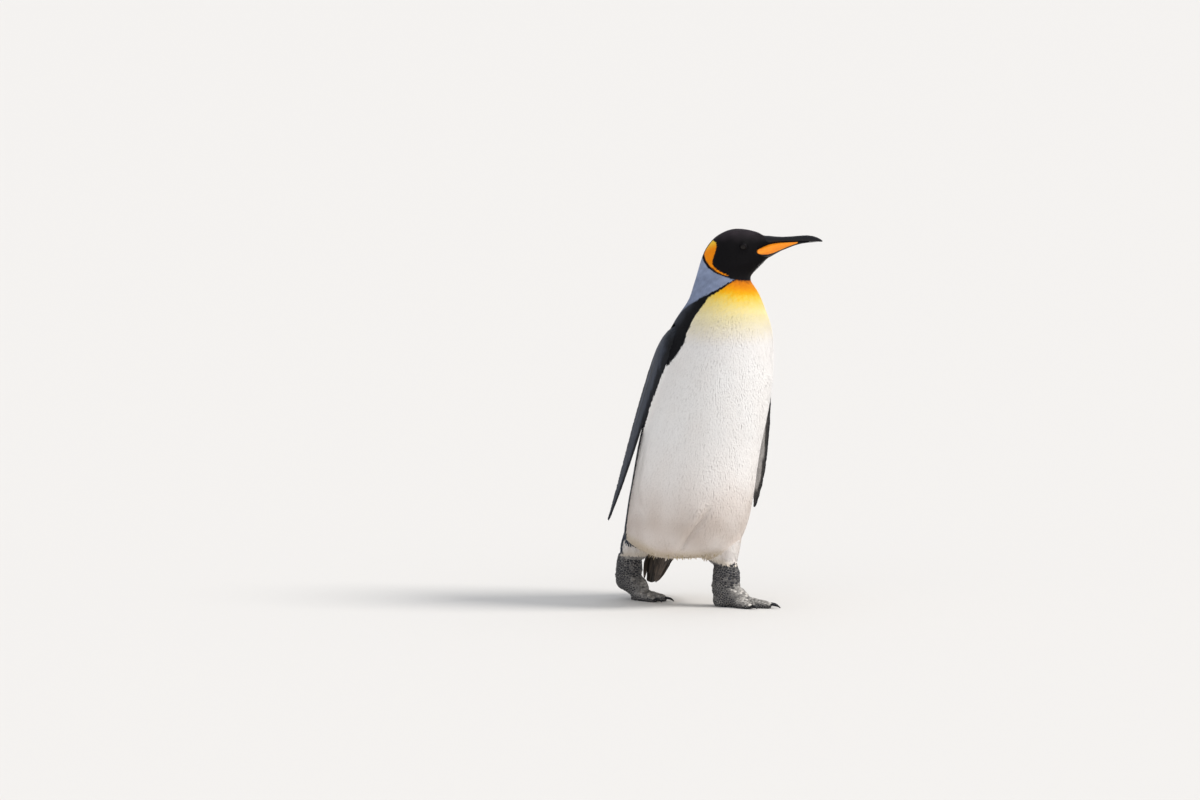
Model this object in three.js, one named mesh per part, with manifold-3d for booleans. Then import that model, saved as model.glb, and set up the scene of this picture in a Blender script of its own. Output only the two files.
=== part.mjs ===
// A king penguin at life size, as a still museum model caught in mid-stride: left foot planted, right heel
// lifting, head turned to its left. Millimetres, +Z up. The trunk faces -Y and the bird's left is +X.
// The origin is on the floor, at the middle of the model's footprint.
import * as THREE from "three";
import { mergeVertices } from "three/addons/utils/BufferGeometryUtils.js";
import Module from "manifold-3d";

const wasm = await Module();
wasm.setup();

// ---- Driving dimensions ----
const DEG = Math.PI / 180;
const GAP = 0.35; // left between two pieces that meet
const FORWARD_LEAN = 0.17; // forward drift of the trunk's axis for each millimetre of height
const SIDE_LEAN = 0.133; // its drift towards the planted left foot
const LEAN_ENDS = { from: 450, over: 300 }; // the neck comes upright over this stretch of height
const HEAD_TURN = 58 * DEG; // how far the head looks to the bird's left
const TURN_HEIGHTS = { from: 615, to: 742 }; // the neck takes up the turn between these heights
const HEM = { x: -9.5, y: 52, z: 123 }; // the trunk's axis where the belly plumage ends

// Level sections of the body from the hem to the crown. rear and front are measured along the way the section
// faces, from the trunk's axis, side is half the width, and out is how far the middle is to the bird's left.
const SECTIONS = [
  { name: "underside", z: 106, rear: 4, front: 4, side: 0, out: 3 },
  { name: "underside", z: 107, rear: -50, front: 60, side: 52, out: 3 },
  { name: "hem", z: 113, rear: -102, front: 110, side: 99, out: 3 },
  { name: "hem", z: 130, rear: -127, front: 135, side: 125, out: 4 },
  { name: "vent", z: 155, rear: -136, front: 144, side: 134, out: 5 },
  { name: "thighs", z: 190, rear: -134, front: 154, side: 138, out: 3 },
  { name: "belly", z: 235, rear: -132, front: 156, side: 140, out: 0 },
  { name: "belly", z: 290, rear: -131, front: 153, side: 139, out: -2 },
  { name: "belly", z: 350, rear: -131, front: 148, side: 139, out: -4 },
  { name: "breast", z: 410, rear: -131, front: 147, side: 139, out: -3 },
  { name: "breast", z: 465, rear: -129, front: 143, side: 138, out: -1 },
  { name: "breast", z: 515, rear: -127, front: 137, side: 133, out: 1 },
  { name: "shoulders", z: 560, rear: -124, front: 130, side: 127, out: 2 },
  { name: "shoulders", z: 600, rear: -120, front: 124, side: 121, out: 3 },
  { name: "shoulders", z: 635, rear: -109, front: 116, side: 110, out: 4 },
  { name: "neck", z: 665, rear: -90, front: 105, side: 92, out: 3 },
  { name: "neck", z: 690, rear: -72, front: 94, side: 76, out: 2 },
  { name: "neck", z: 711, rear: -66, front: 83, side: 65, out: 0 },
  { name: "neck", z: 727, rear: -60, front: 72, side: 57, out: 0 },
  { name: "throat", z: 739, rear: -57, front: 63, side: 51, out: 0 },
  { name: "jaw", z: 751, rear: -53, front: 75, side: 47, out: 0 },
  { name: "jaw", z: 765, rear: -49, front: 90, side: 44.5, out: 0 },
  { name: "cheek", z: 780, rear: -44.5, front: 103, side: 43, out: 0 },
  { name: "cheek", z: 795, rear: -39, front: 112, side: 42, out: 0 },
  { name: "eye", z: 810, rear: -31, front: 112, side: 40, out: 0 },
  { name: "brow", z: 824, rear: -20, front: 107, side: 35.5, out: 0 },
  { name: "brow", z: 835, rear: -7, front: 99, side: 29, out: 0 },
  { name: "crown", z: 843, rear: 8, front: 81, side: 21.5, out: 0 },
  { name: "crown", z: 848, rear: 22, front: 59, side: 12.5, out: 0 },
  { name: "crown", z: 850, rear: 39, front: 39, side: 0, out: 0 },
];

// ---- Small helpers ----
const clamp01 = (t) => Math.min(1, Math.max(0, t));
const smoothstep = (from, to, value) => {
  const t = clamp01((value - from) / (to - from));
  return t * t * (3 - 2 * t);
};
const vec = (x, y, z) => new THREE.Vector3(x, y, z);

// A Catmull-Rom curve through rows of numbers, evenly spaced in t from 0 to 1.
function through(rows, t) {
  const at = clamp01(t) * (rows.length - 1);
  const i = Math.min(Math.floor(at), rows.length - 2);
  const f = at - i;
  const row = (k) => rows[Math.min(Math.max(k, 0), rows.length - 1)];
  const [a, b, c, d] = [row(i - 1), row(i), row(i + 1), row(i + 2)];
  return b.map(
    (_, k) =>
      0.5 *
      (2 * b[k] +
        (c[k] - a[k]) * f +
        (2 * a[k] - 5 * b[k] + 4 * c[k] - d[k]) * f * f +
        (3 * b[k] - a[k] - 3 * c[k] + d[k]) * f ** 3),
  );
}

// A closed surface: a sphere's mesh with each vertex moved to surfaceAt(t, angle), where t runs from one pole
// to the other and angle goes round. Each pole is a single point, midway across its end.
function shell(around, along, surfaceAt) {
  const geometry = new THREE.SphereGeometry(1, around, along);
  const position = geometry.getAttribute("position");
  const poles = [0, 1].map((t) => surfaceAt(t, 0).lerp(surfaceAt(t, Math.PI), 0.5));
  for (let i = 0; i < position.count; i++) {
    const row = Math.floor(i / (around + 1));
    const angle = ((i % (around + 1)) % around) * ((2 * Math.PI) / around);
    const p = row === 0 ? poles[0] : row === along ? poles[1] : surfaceAt(row / along, angle);
    position.setXYZ(i, p.x, p.y, p.z);
  }
  return solid(geometry);
}

// A three.js geometry as a manifold-3d solid that faces outwards.
function solid(geometry) {
  const bare = new THREE.BufferGeometry();
  bare.setAttribute("position", geometry.getAttribute("position"));
  if (geometry.index) bare.setIndex(geometry.index);
  const merged = mergeVertices(bare, 1e-3);
  const make = (triVerts) =>
    new wasm.Manifold(
      new wasm.Mesh({
        numProp: 3,
        vertProperties: new Float32Array(merged.getAttribute("position").array),
        triVerts,
      }),
    );
  const faces = new Uint32Array(merged.index.array);
  const made = make(faces);
  if (made.volume() > 0) return made;
  for (let i = 0; i < faces.length; i += 3) [faces[i], faces[i + 1]] = [faces[i + 1], faces[i]];
  return make(faces);
}

const joined = (...solids) => solids.reduce((all, one) => all.add(one));
const cutBy = (whole, ...cutters) => cutters.reduce((left, cutter) => left.subtract(cutter), whole);

// A tapered limb along a smooth path of stops {at, wide, deep}: wide is its half width, along `across`, and
// deep its half depth. Its ends are rounded over `blunt` times its half width.
function limb(stops, { across, around, along, blunt = 1, grow = 0 }) {
  const path = new THREE.CatmullRomCurve3(stops.map((s) => s.at));
  const length = path.getLength();
  return shell(around, along, (t, angle) => {
    const run = (1 - Math.cos(t * Math.PI)) / 2;
    const [wide, deep] = through(stops.map((s) => [s.wide + grow, s.deep + grow]), run);
    const end = Math.min(run, 1 - run) * length;
    const round = Math.sqrt(1 - (1 - Math.min(1, end / (blunt * Math.min(wide, deep)))) ** 2);
    const ahead = path.getTangent(run);
    const side = across.clone().addScaledVector(ahead, -across.dot(ahead)).normalize();
    const top = vec().crossVectors(side, ahead);
    return path
      .getPoint(run)
      .addScaledVector(ahead, (2 * run - 1) * grow)
      .addScaledVector(side, Math.cos(angle) * wide * round)
      .addScaledVector(top, Math.sin(angle) * deep * round);
  });
}

// ---- Pose of the body ----
// Height over which the lean has built up: it grows with z, then levels off along the neck.
function leaning(z) {
  const { from, over } = LEAN_ENDS;
  const t = clamp01((z - from) / over);
  return Math.min(z, from) + over * (t - t ** 3 + t ** 4 / 2) - HEM.z;
}
const axisAt = (z) => vec(HEM.x + SIDE_LEAN * leaning(z), HEM.y - FORWARD_LEAN * leaning(z), z);
const turnAt = (z) => HEAD_TURN * smoothstep(TURN_HEIGHTS.from, TURN_HEIGHTS.to, z);

// A point given by its height, how far forward it is and how far to the bird's left, in the turned section.
function bodyPoint(left, forward, z, turn = turnAt(z)) {
  return axisAt(z)
    .addScaledVector(vec(Math.cos(turn), Math.sin(turn), 0), left)
    .addScaledVector(vec(Math.sin(turn), -Math.cos(turn), 0), forward);
}
const headPoint = (left, forward, z) => bodyPoint(left, forward, z, HEAD_TURN);

const FACE_TAPER = 0.42; // how much narrower the head's sections are at the bill than an ellipse would be

// The trunk, neck and head in one. The mesh doesn't spiral with the turning sections: each of its lines runs
// straight up the body.
function wholeBody() {
  const AROUND = 25;
  const ALONG = 39;
  const rows = SECTIONS.map((s) => [s.z, s.rear, s.front, s.side, s.out]);
  return shell(AROUND, ALONG, (t, angle) => {
    const [z, rear, front, side, out] = through(rows, t);
    // The head's sections are egg shaped: widest behind the middle, and drawn in towards the bill.
    const inHead = smoothstep(740, 800, z);
    const widest = rear + (front - rear) * (0.5 - 0.1 * inHead);
    const facing = angle - turnAt(z);
    const reach = Math.cos(facing) > 0 ? front - widest : widest - rear;
    const drawnIn = 1 - FACE_TAPER * inHead * Math.max(0, Math.cos(facing)) ** 2;
    return bodyPoint(out + Math.sin(facing) * side * drawnIn, widest + Math.cos(facing) * reach, z);
  });
}

// A thick slab whose lower face passes through `point`, square to the unit vector `normal`.
function slab(point, normal, thickness) {
  const WIDE = 600;
  const geometry = new THREE.BoxGeometry(WIDE, WIDE, thickness);
  const turn = new THREE.Quaternion().setFromUnitVectors(vec(0, 0, 1), normal);
  const centre = point.clone().addScaledVector(normal, thickness / 2);
  geometry.applyMatrix4(new THREE.Matrix4().compose(centre, turn, vec(1, 1, 1)));
  return solid(geometry);
}

// ---- Bill ----
// Along the bill: forward from the head's axis, the lower and upper edges, and the half width.
const UPPER_BILL = [
  [81, 812, 829, 0],
  [85, 809, 833, 9],
  [101, 812.9, 834.6, 12],
  [116, 816.5, 832.9, 10.5],
  [134, 818.4, 831.6, 8.8],
  [157, 819.8, 832.6, 7.4],
  [179, 820.3, 834.5, 6.6],
  [197, 820.4, 835.2, 5.8],
  [211, 820.3, 832.3, 4.6],
  [221, 820.2, 828, 3.2],
  [227, 820, 824, 1.7],
  [229, 820.6, 821.4, 0],
];
const LOWER_BILL = [
  [71, 794, 802, 0],
  [75, 786.5, 808, 22],
  [89, 782, 809, 22.6],
  [104, 782.5, 814.5, 19],
  [119, 790.5, 817.5, 14.8],
  [134, 799, 819.4, 11.6],
  [151, 806, 820.4, 8.6],
  [169, 813, 821, 6.2],
  [187, 817.2, 821.4, 4.6],
  [205, 819, 821.4, 3],
  [216, 819.4, 821, 1.6],
  [219, 819.8, 820.2, 0],
];
// The horn plate on each side of the lower bill: forward, lower edge, upper edge. Past its rounded base the
// upper edge runs out over the lower bill's top, so that the upper bill ends it.
const PLATE = [
  [80.5, 798, 801.5],
  [82.5, 795.6, 804.2],
  [87, 793.6, 807.4],
  [95, 792.4, 810.6],
  [106, 792.9, 814.2],
  [118, 796, 817.2],
  [134, 802.6, 820.4],
  [150, 809.6, 823],
  [172, 817.6, 823],
];

function billHalf(rows, grow = 0) {
  const AROUND = 10;
  const ALONG = 13;
  return shell(AROUND, ALONG, (t, angle) => {
    const [forward, low, high, side] = through(rows, t);
    const middle = (low + high) / 2;
    const tall = (high - low) / 2 + grow;
    const ahead = forward + (2 * t - 1) * grow;
    return headPoint(Math.cos(angle) * (side + grow), ahead, middle + Math.sin(angle) * tall);
  });
}

// The plate's outline pushed out sideways, from near the middle of the bill to beyond the head.
function platePrism(side, grow = 0) {
  const near = 4 - grow;
  const far = 60;
  const lowEdge = PLATE.map(([forward, low]) => new THREE.Vector2(forward, low - grow));
  const highEdge = PLATE.map(([forward, , high]) => new THREE.Vector2(forward, high + grow));
  const outline = new THREE.Shape([...lowEdge, ...highEdge.reverse()]);
  const geometry = new THREE.ExtrudeGeometry(outline, { depth: far - near, bevelEnabled: false });
  const position = geometry.getAttribute("position");
  for (let i = 0; i < position.count; i++) {
    const p = headPoint(side * (near + position.getZ(i)), position.getX(i), position.getY(i));
    position.setXYZ(i, p.x, p.y, p.z);
  }
  return solid(geometry);
}

// ---- Eyes ----
const EYE = { radius: 9.5, left: 31.5, forward: 50, z: 811 };
function eye(side, grow = 0) {
  const ball = new THREE.SphereGeometry(EYE.radius + grow, 10, 7);
  const at = headPoint(side * EYE.left, EYE.forward, EYE.z);
  ball.translate(at.x, at.y, at.z);
  return solid(ball);
}

// ---- Flippers ----
// Along the flipper from inside the shoulder: trailing edge, leading edge, half thickness.
const FLIPPER = [
  [0, 0, 0, 0],
  [4, -16, 18, 10],
  [25, -32, 32, 17],
  [55, -42, 38, 17.5],
  [85, -48, 38, 15],
  [115, -52, 35, 12],
  [145, -53, 29, 9.8],
  [185, -53, 24, 8],
  [230, -50, 21, 6.8],
  [275, -45, 18.5, 5.8],
  [320, -39, 16, 4.9],
  [365, -32, 12, 4],
  [403, -26, 6, 3.3],
  [430, -22, -1, 2.8],
  [449, -18, -8, 2.1],
  [456, -13, -13, 0],
];
// The joints of each flipper and the way its leading edge faces.
const FLIPPER_POSE = {
  right: {
    joints: [vec(-42, 4, 632), vec(-66, 13, 590), vec(-89, 27, 510), vec(-129, 56, 347), vec(-170, 86, 184)],
    leading: vec(-0.24, -0.97, 0),
  },
  left: {
    joints: [vec(122, -10, 632), vec(152, -4, 590), vec(188, 10, 506), vec(203, 28, 356), vec(199, 45, 198)],
    leading: vec(0.24, -0.97, 0),
  },
};

function flipper({ joints, leading }, grow = 0) {
  const AROUND = 10;
  const ALONG = 18;
  const length = FLIPPER.at(-1)[0];
  const path = new THREE.CatmullRomCurve3(joints);
  return shell(AROUND, ALONG, (t, angle) => {
    const [along, trail, lead, thick] = through(FLIPPER, t);
    const run = clamp01(along / length);
    const ahead = path.getTangentAt(run);
    const chord = leading.clone().addScaledVector(ahead, -leading.dot(ahead)).normalize();
    const out = vec().crossVectors(chord, ahead);
    const middle = (lead + trail) / 2;
    const half = (lead - trail) / 2 + grow;
    // The section is full at the leading edge and thin at the trailing one.
    const taper = 0.72 + 0.28 * Math.cos(angle);
    return path
      .getPointAt(run)
      .addScaledVector(ahead, (2 * t - 1) * grow)
      .addScaledVector(chord, middle + Math.cos(angle) * half)
      .addScaledVector(out, Math.sin(angle) * (thick * taper + grow));
  });
}

// ---- Legs and feet ----
const LEFTWARD = vec(1, 0, 0);
const HEEL = 46; // from the ball of the foot back to the middle of the heel
// Toe by toe: how far out and forward from the ball its base and its tip are, and the tip of its claw.
const TOES = {
  inner: { base: [-14, -6], tip: [-27, 44], claw: [-33, 59], wide: 9.5, deep: 10 },
  middle: { base: [0, 0], tip: [2, 80], claw: [3, 101], wide: 11, deep: 12 },
  outer: { base: [14, -6], tip: [27, 68], claw: [31, 86], wide: 10, deep: 10.5 },
};
// ball: the ball of the foot on the floor. facing: how far the foot points to the bird's left. heelUp: how
// far the heel is lifted. pad: the middle of the heel's pad, forward of the ball. instep: where the shank turns
// into the foot, and how deep it is there. hem: where the shank's plumage ends. knee, thigh: the knee and its
// half width. hip: the leg's end inside the trunk.
const LEG_POSE = {
  left: {
    side: 1,
    ball: vec(67, -86, 0),
    facing: 37 * DEG,
    heelUp: 0,
    pad: { forward: -36, z: 15 },
    instep: { forward: -12, z: 24, deep: 27 },
    hem: vec(48, -61, 90),
    knee: vec(49, -34, 157),
    thigh: 51,
    hip: vec(36, 0, 225),
  },
  right: {
    side: -1,
    ball: vec(-61, 147, 0),
    facing: 28 * DEG,
    heelUp: 28,
    pad: { forward: -28, z: 42 },
    instep: { forward: -1, z: 30, deep: 24 },
    hem: vec(-68.5, 164.5, 93),
    knee: vec(-57, 131, 154),
    thigh: 40,
    hip: vec(-47, 96, 215),
  },
};

// A point near the foot: outwards and forwards from the ball, at a height.
function footPoint({ ball, facing, side }, out, forward, z) {
  return vec(
    ball.x + side * out * Math.cos(facing) + forward * Math.sin(facing),
    ball.y + side * out * Math.sin(facing) - forward * Math.cos(facing),
    z,
  );
}
const acrossFoot = ({ facing }) => vec(Math.cos(facing), Math.sin(facing), 0);

// The thigh and shank in their plumage.
function leg({ hem, knee, thigh, hip }, grow = 0) {
  const calf = 18 + 0.44 * thigh;
  return limb(
    [
      { at: hem, wide: 29.5, deep: 31 },
      { at: hem.clone().lerp(knee, 0.5), wide: calf, deep: calf + 1 },
      { at: knee, wide: thigh, deep: thigh },
      { at: hip, wide: 46, deep: 46 },
    ],
    { across: LEFTWARD, around: 14, along: 8, blunt: 0.35, grow },
  );
}

// The bare shank, which comes down from the leg's plumage, bends at the heel and runs on to the ball.
function shank(pose, grow = 0) {
  const at = (forward, z) => footPoint(pose, 0, forward, z);
  const lift = pose.heelUp;
  const heel = -Math.sqrt(HEEL ** 2 - lift ** 2);
  const { instep } = pose;
  return limb(
    [
      { at: pose.hem.clone().lerp(pose.hip, 0.2), wide: 17, deep: 17 },
      { at: pose.hem, wide: 25, deep: 28 },
      { at: at(heel + 17, 58 + lift * 0.44), wide: 25.5, deep: 32 },
      { at: at(heel + 13, 32 + lift * 0.72), wide: 24.5, deep: 29 },
      { at: at(instep.forward, instep.z), wide: 25, deep: instep.deep },
      { at: at(28, 14 + lift * 0.15), wide: 23, deep: 14.5 + lift * 0.15 },
    ],
    { across: acrossFoot(pose), around: 12, along: 11, grow },
  );
}

const HEEL_PAD = { wide: 22, radius: 24.5 };
function heelPad(pose) {
  const pad = new THREE.SphereGeometry(1, 10, 7);
  pad.scale(HEEL_PAD.wide, HEEL_PAD.radius, HEEL_PAD.radius);
  pad.rotateZ(pose.facing);
  const centre = footPoint(pose, 0, pose.pad.forward, pose.pad.z);
  pad.translate(centre.x, centre.y, centre.z);
  return solid(pad);
}

// The shank, the heel, three toes and the webs between them, flat where they stand.
function foot(pose) {
  const at = (out, forward, z) => footPoint(pose, out, forward, z);
  const toes = Object.values(TOES).map(({ base, tip, wide, deep }) =>
    limb(
      [
        { at: at(...base, deep + 2), wide: wide + 2, deep: deep + 4 },
        { at: at(...mix(base, tip, 0.45), deep * 0.85), wide: wide - 0.5, deep: deep + 0.4 },
        { at: at(...mix(base, tip, 0.78), deep * 0.66), wide, deep: deep - 2.5 },
        { at: at(...tip, deep * 0.5), wide: wide - 2, deep: deep - 4.5 },
      ],
      { across: acrossFoot(pose), around: 8, along: 6 },
    ),
  );
  const underFloor = slab(vec(0, 0, -60), vec(0, 0, 1), 60);
  return cutBy(joined(shank(pose), heelPad(pose), ...toes, web(at)), underFloor);
}
const mix = (a, b, t) => a.map((value, k) => value + (b[k] - value) * t);

// The sole and the skin between the toes, hollowed between one toe's tip and the next.
function web(at) {
  const THICKNESS = 7;
  const BELOW = 2; // the floor cuts this much off
  const REACH = 0.86; // how far along the toes it runs
  const BEHIND = 3; // how far the sole runs back behind the toes
  const { inner, middle, outer } = TOES;
  const end = ({ base, tip }) => mix(base, tip, REACH);
  const outline = new THREE.Shape();
  outline.moveTo(inner.base[0], inner.base[1] - BEHIND);
  outline.lineTo(...end(inner));
  for (const [one, other] of [
    [inner, middle],
    [middle, outer],
  ]) {
    const hollow = mix(mix(end(one), end(other), 0.5), mix(one.base, other.base, 0.5), 0.34);
    outline.quadraticCurveTo(...hollow, ...end(other));
  }
  outline.lineTo(outer.base[0], outer.base[1] - BEHIND);
  const geometry = new THREE.ExtrudeGeometry(outline, {
    depth: THICKNESS,
    bevelEnabled: false,
    curveSegments: 3,
  });
  const position = geometry.getAttribute("position");
  for (let i = 0; i < position.count; i++) {
    const p = at(position.getX(i), position.getY(i), position.getZ(i) - BELOW);
    position.setXYZ(i, p.x, p.y, p.z);
  }
  return solid(geometry);
}

// A horn claw that starts inside the toe's tip and hooks down to the floor.
function claw(pose, { base, tip, claw: point, deep }, grow = 0) {
  const at = (t, z) => footPoint(pose, ...mix(tip, point, t), z);
  const root = footPoint(pose, ...mix(base, tip, 0.9), deep * 0.66);
  return limb(
    [
      { at: root, wide: 3.4, deep: 2.8 },
      { at: at(0.25, deep * 0.72), wide: 3.8, deep: 3.1 },
      { at: at(0.7, deep * 0.52), wide: 2.6, deep: 2.3 },
      { at: at(1, 1.6), wide: 1.1, deep: 1.1 },
    ],
    { across: acrossFoot(pose), around: 6, along: 6, grow },
  );
}

// ---- Tail ----
function tail(grow = 0) {
  return limb(
    [
      { at: vec(32, 152, 150), wide: 25, deep: 15 },
      { at: vec(27, 171, 118), wide: 34, deep: 14 },
      { at: vec(17, 190, 70), wide: 32, deep: 9 },
      { at: vec(8, 207, 23), wide: 15, deep: 4 },
    ],
    { across: LEFTWARD, around: 12, along: 8, grow },
  );
}

// ---- Materials ----
const LOOKS = {
  white: { color: 0xeeeae2, roughness: 0.8 },
  slate: { color: 0x2b2f38, roughness: 0.75 },
  grey: { color: 0x8a93a6, roughness: 0.8 },
  black: { color: 0x111114, roughness: 0.6 },
  horn: { color: 0x17171a, roughness: 0.35 },
  orange: { color: 0xf5831f, roughness: 0.4 },
  foot: { color: 0x3a3836, roughness: 0.85 },
  iris: { color: 0x2a1a10, roughness: 0.1 },
};

// ---- Assembly ----
const penguin = new THREE.Group();
function add(name, shape, look) {
  const mesh = shape.getMesh();
  const geometry = new THREE.BufferGeometry();
  geometry.setAttribute("position", new THREE.BufferAttribute(new Float32Array(mesh.vertProperties), 3));
  geometry.setIndex(new THREE.BufferAttribute(new Uint32Array(mesh.triVerts), 1));
  const piece = new THREE.Mesh(geometry, new THREE.MeshStandardMaterial({ metalness: 0, ...LOOKS[look] }));
  piece.name = name;
  penguin.add(piece);
}
const SIDES = { left: 1, right: -1 };
const sides = Object.keys(SIDES);

// The head, neck and trunk are one form, parted by two thin cuts.
// Both cuts rise towards the front: the first by 16 mm in 100 along the head, the second by 22 along the trunk.
const HEAD_CUT = {
  at: headPoint(0, 0, 758),
  normal: vec(-0.16 * Math.sin(HEAD_TURN), 0.16 * Math.cos(HEAD_TURN), 1).normalize(),
};
const NECK_CUT = { at: axisAt(648), normal: vec(0, 0.22, 1).normalize() };
// The underside rises towards the right leg, which is drawn back.
const BELLY_RISE = { at: vec(-41, 71, 108), normal: vec(-0.36, 0.22, -1).normalize() };
const BEYOND = 900; // taller than the whole bird
function above({ at, normal }, lift = 0) {
  return slab(at.clone().addScaledVector(normal, lift), normal, BEYOND);
}
const body = wholeBody();
const headForm = body.intersect(above(HEAD_CUT, GAP));
const neckForm = cutBy(body.intersect(above(NECK_CUT, GAP)), above(HEAD_CUT));
const trunkForm = cutBy(body, above(NECK_CUT), above(BELLY_RISE));

const roomForLegs = sides.map((s) => leg(LEG_POSE[s], GAP));
const roomForFlippers = sides.map((s) => flipper(FLIPPER_POSE[s], GAP));
add("trunk", cutBy(trunkForm, ...roomForLegs, ...roomForFlippers, tail(GAP)), "white");
add("neck", neckForm, "grey");
add("tail", tail(), "slate");

const roomForBill = [billHalf(UPPER_BILL, GAP), billHalf(LOWER_BILL, GAP)];
const roomForPlates = sides.map((s) => platePrism(SIDES[s], GAP));
const roomForEyes = sides.map((s) => eye(SIDES[s], GAP));
add("head", cutBy(headForm, ...roomForBill, ...roomForPlates, ...roomForEyes), "black");

const PLATE_DEPTH = 2; // how deep the horn plate is let into the lower bill
const PLATE_PROUD = 0.7; // how far it stands out of it
const roomForUpperBill = billHalf(UPPER_BILL, GAP);
const core = billHalf(LOWER_BILL, -PLATE_DEPTH - GAP);
const plateRecesses = roomForPlates.map((room) => cutBy(room, core));
add("bill_upper", billHalf(UPPER_BILL), "horn");
add("bill_lower", cutBy(billHalf(LOWER_BILL), roomForUpperBill, ...plateRecesses), "horn");
const plateLayer = cutBy(
  billHalf(LOWER_BILL, PLATE_PROUD),
  billHalf(LOWER_BILL, -PLATE_DEPTH),
  roomForUpperBill,
);

for (const s of sides) {
  const pose = LEG_POSE[s];
  const toes = Object.entries(TOES);
  const roomForClaws = toes.map(([, toe]) => claw(pose, toe, GAP));
  add(`bill_plate_${s}`, plateLayer.intersect(platePrism(SIDES[s])), "orange");
  add(`eye_${s}`, eye(SIDES[s]), "iris");
  add(`flipper_${s}`, flipper(FLIPPER_POSE[s]), "slate");
  add(`leg_${s}`, cutBy(leg(pose), shank(pose, GAP)), "white");
  add(`foot_${s}`, cutBy(foot(pose), ...roomForClaws), "foot");
  for (const [which, toe] of toes) add(`claw_${s}_${which}`, claw(pose, toe), "horn");
}

// The origin goes on the floor, at the middle of the footprint.
const box = new THREE.Box3().setFromObject(penguin);
const middle = box.getCenter(vec());
penguin.position.set(-middle.x, -middle.y, -box.min.z);

export default penguin;
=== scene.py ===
"""The looks of a king penguin made as a still museum model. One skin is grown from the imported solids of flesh
and drawn in by the depth of the coat; feathers, quills and foot scales are small meshes that lie over it.
Metres, +Z up. The trunk faces -Y and the bird's left is +X."""

import math

import bpy
import numpy as np
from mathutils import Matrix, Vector
from mathutils.bvhtree import BVHTree
from mathutils.kdtree import KDTree


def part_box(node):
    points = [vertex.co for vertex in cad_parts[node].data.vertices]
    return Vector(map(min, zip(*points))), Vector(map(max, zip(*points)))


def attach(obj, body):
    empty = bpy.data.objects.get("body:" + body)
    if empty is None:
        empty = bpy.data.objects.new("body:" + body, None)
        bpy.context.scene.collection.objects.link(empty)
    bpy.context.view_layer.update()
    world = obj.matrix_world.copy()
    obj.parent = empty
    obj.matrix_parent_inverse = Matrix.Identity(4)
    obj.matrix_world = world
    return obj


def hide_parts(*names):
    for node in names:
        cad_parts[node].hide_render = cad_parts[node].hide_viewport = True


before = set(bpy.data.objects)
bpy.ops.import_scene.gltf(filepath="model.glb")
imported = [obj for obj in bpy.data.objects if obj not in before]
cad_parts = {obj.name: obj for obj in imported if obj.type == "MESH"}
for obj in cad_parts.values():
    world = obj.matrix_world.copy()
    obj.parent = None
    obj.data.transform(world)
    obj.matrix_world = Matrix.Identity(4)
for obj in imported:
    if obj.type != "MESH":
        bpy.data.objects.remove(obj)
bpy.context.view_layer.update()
random = np.random.default_rng(11)

MM = 0.001
SIDES = ("left", "right")
OUT = {"left": 1, "right": -1}  # outward, counted along the bird's left


def both(name):
    return [f"{name}_{side}" for side in SIDES]


FLESH = ["trunk", "neck", "head", "tail", *both("flipper"), *both("leg"), *both("foot")]
SET_IN = ["bill_upper", "bill_lower", *both("bill_plate"), *both("eye")]


# ---- Numbers as fields over the body ----
def smoothstep(low, high, value):
    t = np.clip((value - low) / (high - low), 0, 1)
    return t * t * (3 - 2 * t)


def mix(a, b, share):
    """a where share is 0 and b where it is 1, row by row."""
    share = np.asarray(share)[..., None]
    return np.asarray(a) * (1 - share) + np.asarray(b) * share


def unit(v):
    return v / np.maximum(np.linalg.norm(v, axis=-1, keepdims=True), 1e-12)


def dot(a, b):
    return (a * b).sum(-1)


def across(direction, normal):
    """The part of a direction that lies in the surface, one unit long."""
    return unit(direction - dot(direction, normal)[:, None] * normal)


def centre_of(node):
    low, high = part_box(node)
    return np.array((low + high) / 2)


WAVES = 7  # waves in one field of noise


def ripple(points, size, seed):
    """Smooth noise, nearly all of it from -1 to 1: waves of about one size that cross at odd angles."""
    waves = np.random.default_rng(seed)
    total = 0
    for _ in range(WAVES):
        heading = unit(waves.normal(size=3))
        turns = points @ heading * (2 * math.pi / size) * waves.uniform(0.6, 1.5)
        total = total + np.sin(turns + waves.uniform(0, 6.28))
    return total / 4


# ---- The bird's own coordinates ----
# The head looks along HEAD_FORWARD. The trunk's axis leans forward and to the left, and comes upright in the
# neck, which takes up the head's turn.
EYE_FORWARD = 0.050  # the eyes lie this far in front of the axis
LEAN = np.array([0.133, -0.17])  # drift of the axis for each metre of height
LEAN_ENDS = (0.450, 0.300)  # where it starts to come upright, and over what height
TURN_HEIGHTS = (0.615, 0.742)  # the neck turns between these heights
AXIS_FORWARD = 0.010  # the middle of a section lies this far in front of the axis

eyes = {side: centre_of(f"eye_{side}") for side in SIDES}
HEAD_LEFT = unit(eyes["left"] - eyes["right"])
HEAD_FORWARD = np.array([HEAD_LEFT[1], -HEAD_LEFT[0], 0])
HEAD_TURN = math.atan2(HEAD_LEFT[1], HEAD_LEFT[0])
HEAD_AXIS = (eyes["left"] + eyes["right"]) / 2 - HEAD_FORWARD * EYE_FORWARD


def leaning(z):
    start, over = LEAN_ENDS
    t = np.clip((z - start) / over, 0, 1)
    return np.minimum(z, start) + over * (t - t**3 + t**4 / 2)


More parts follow.
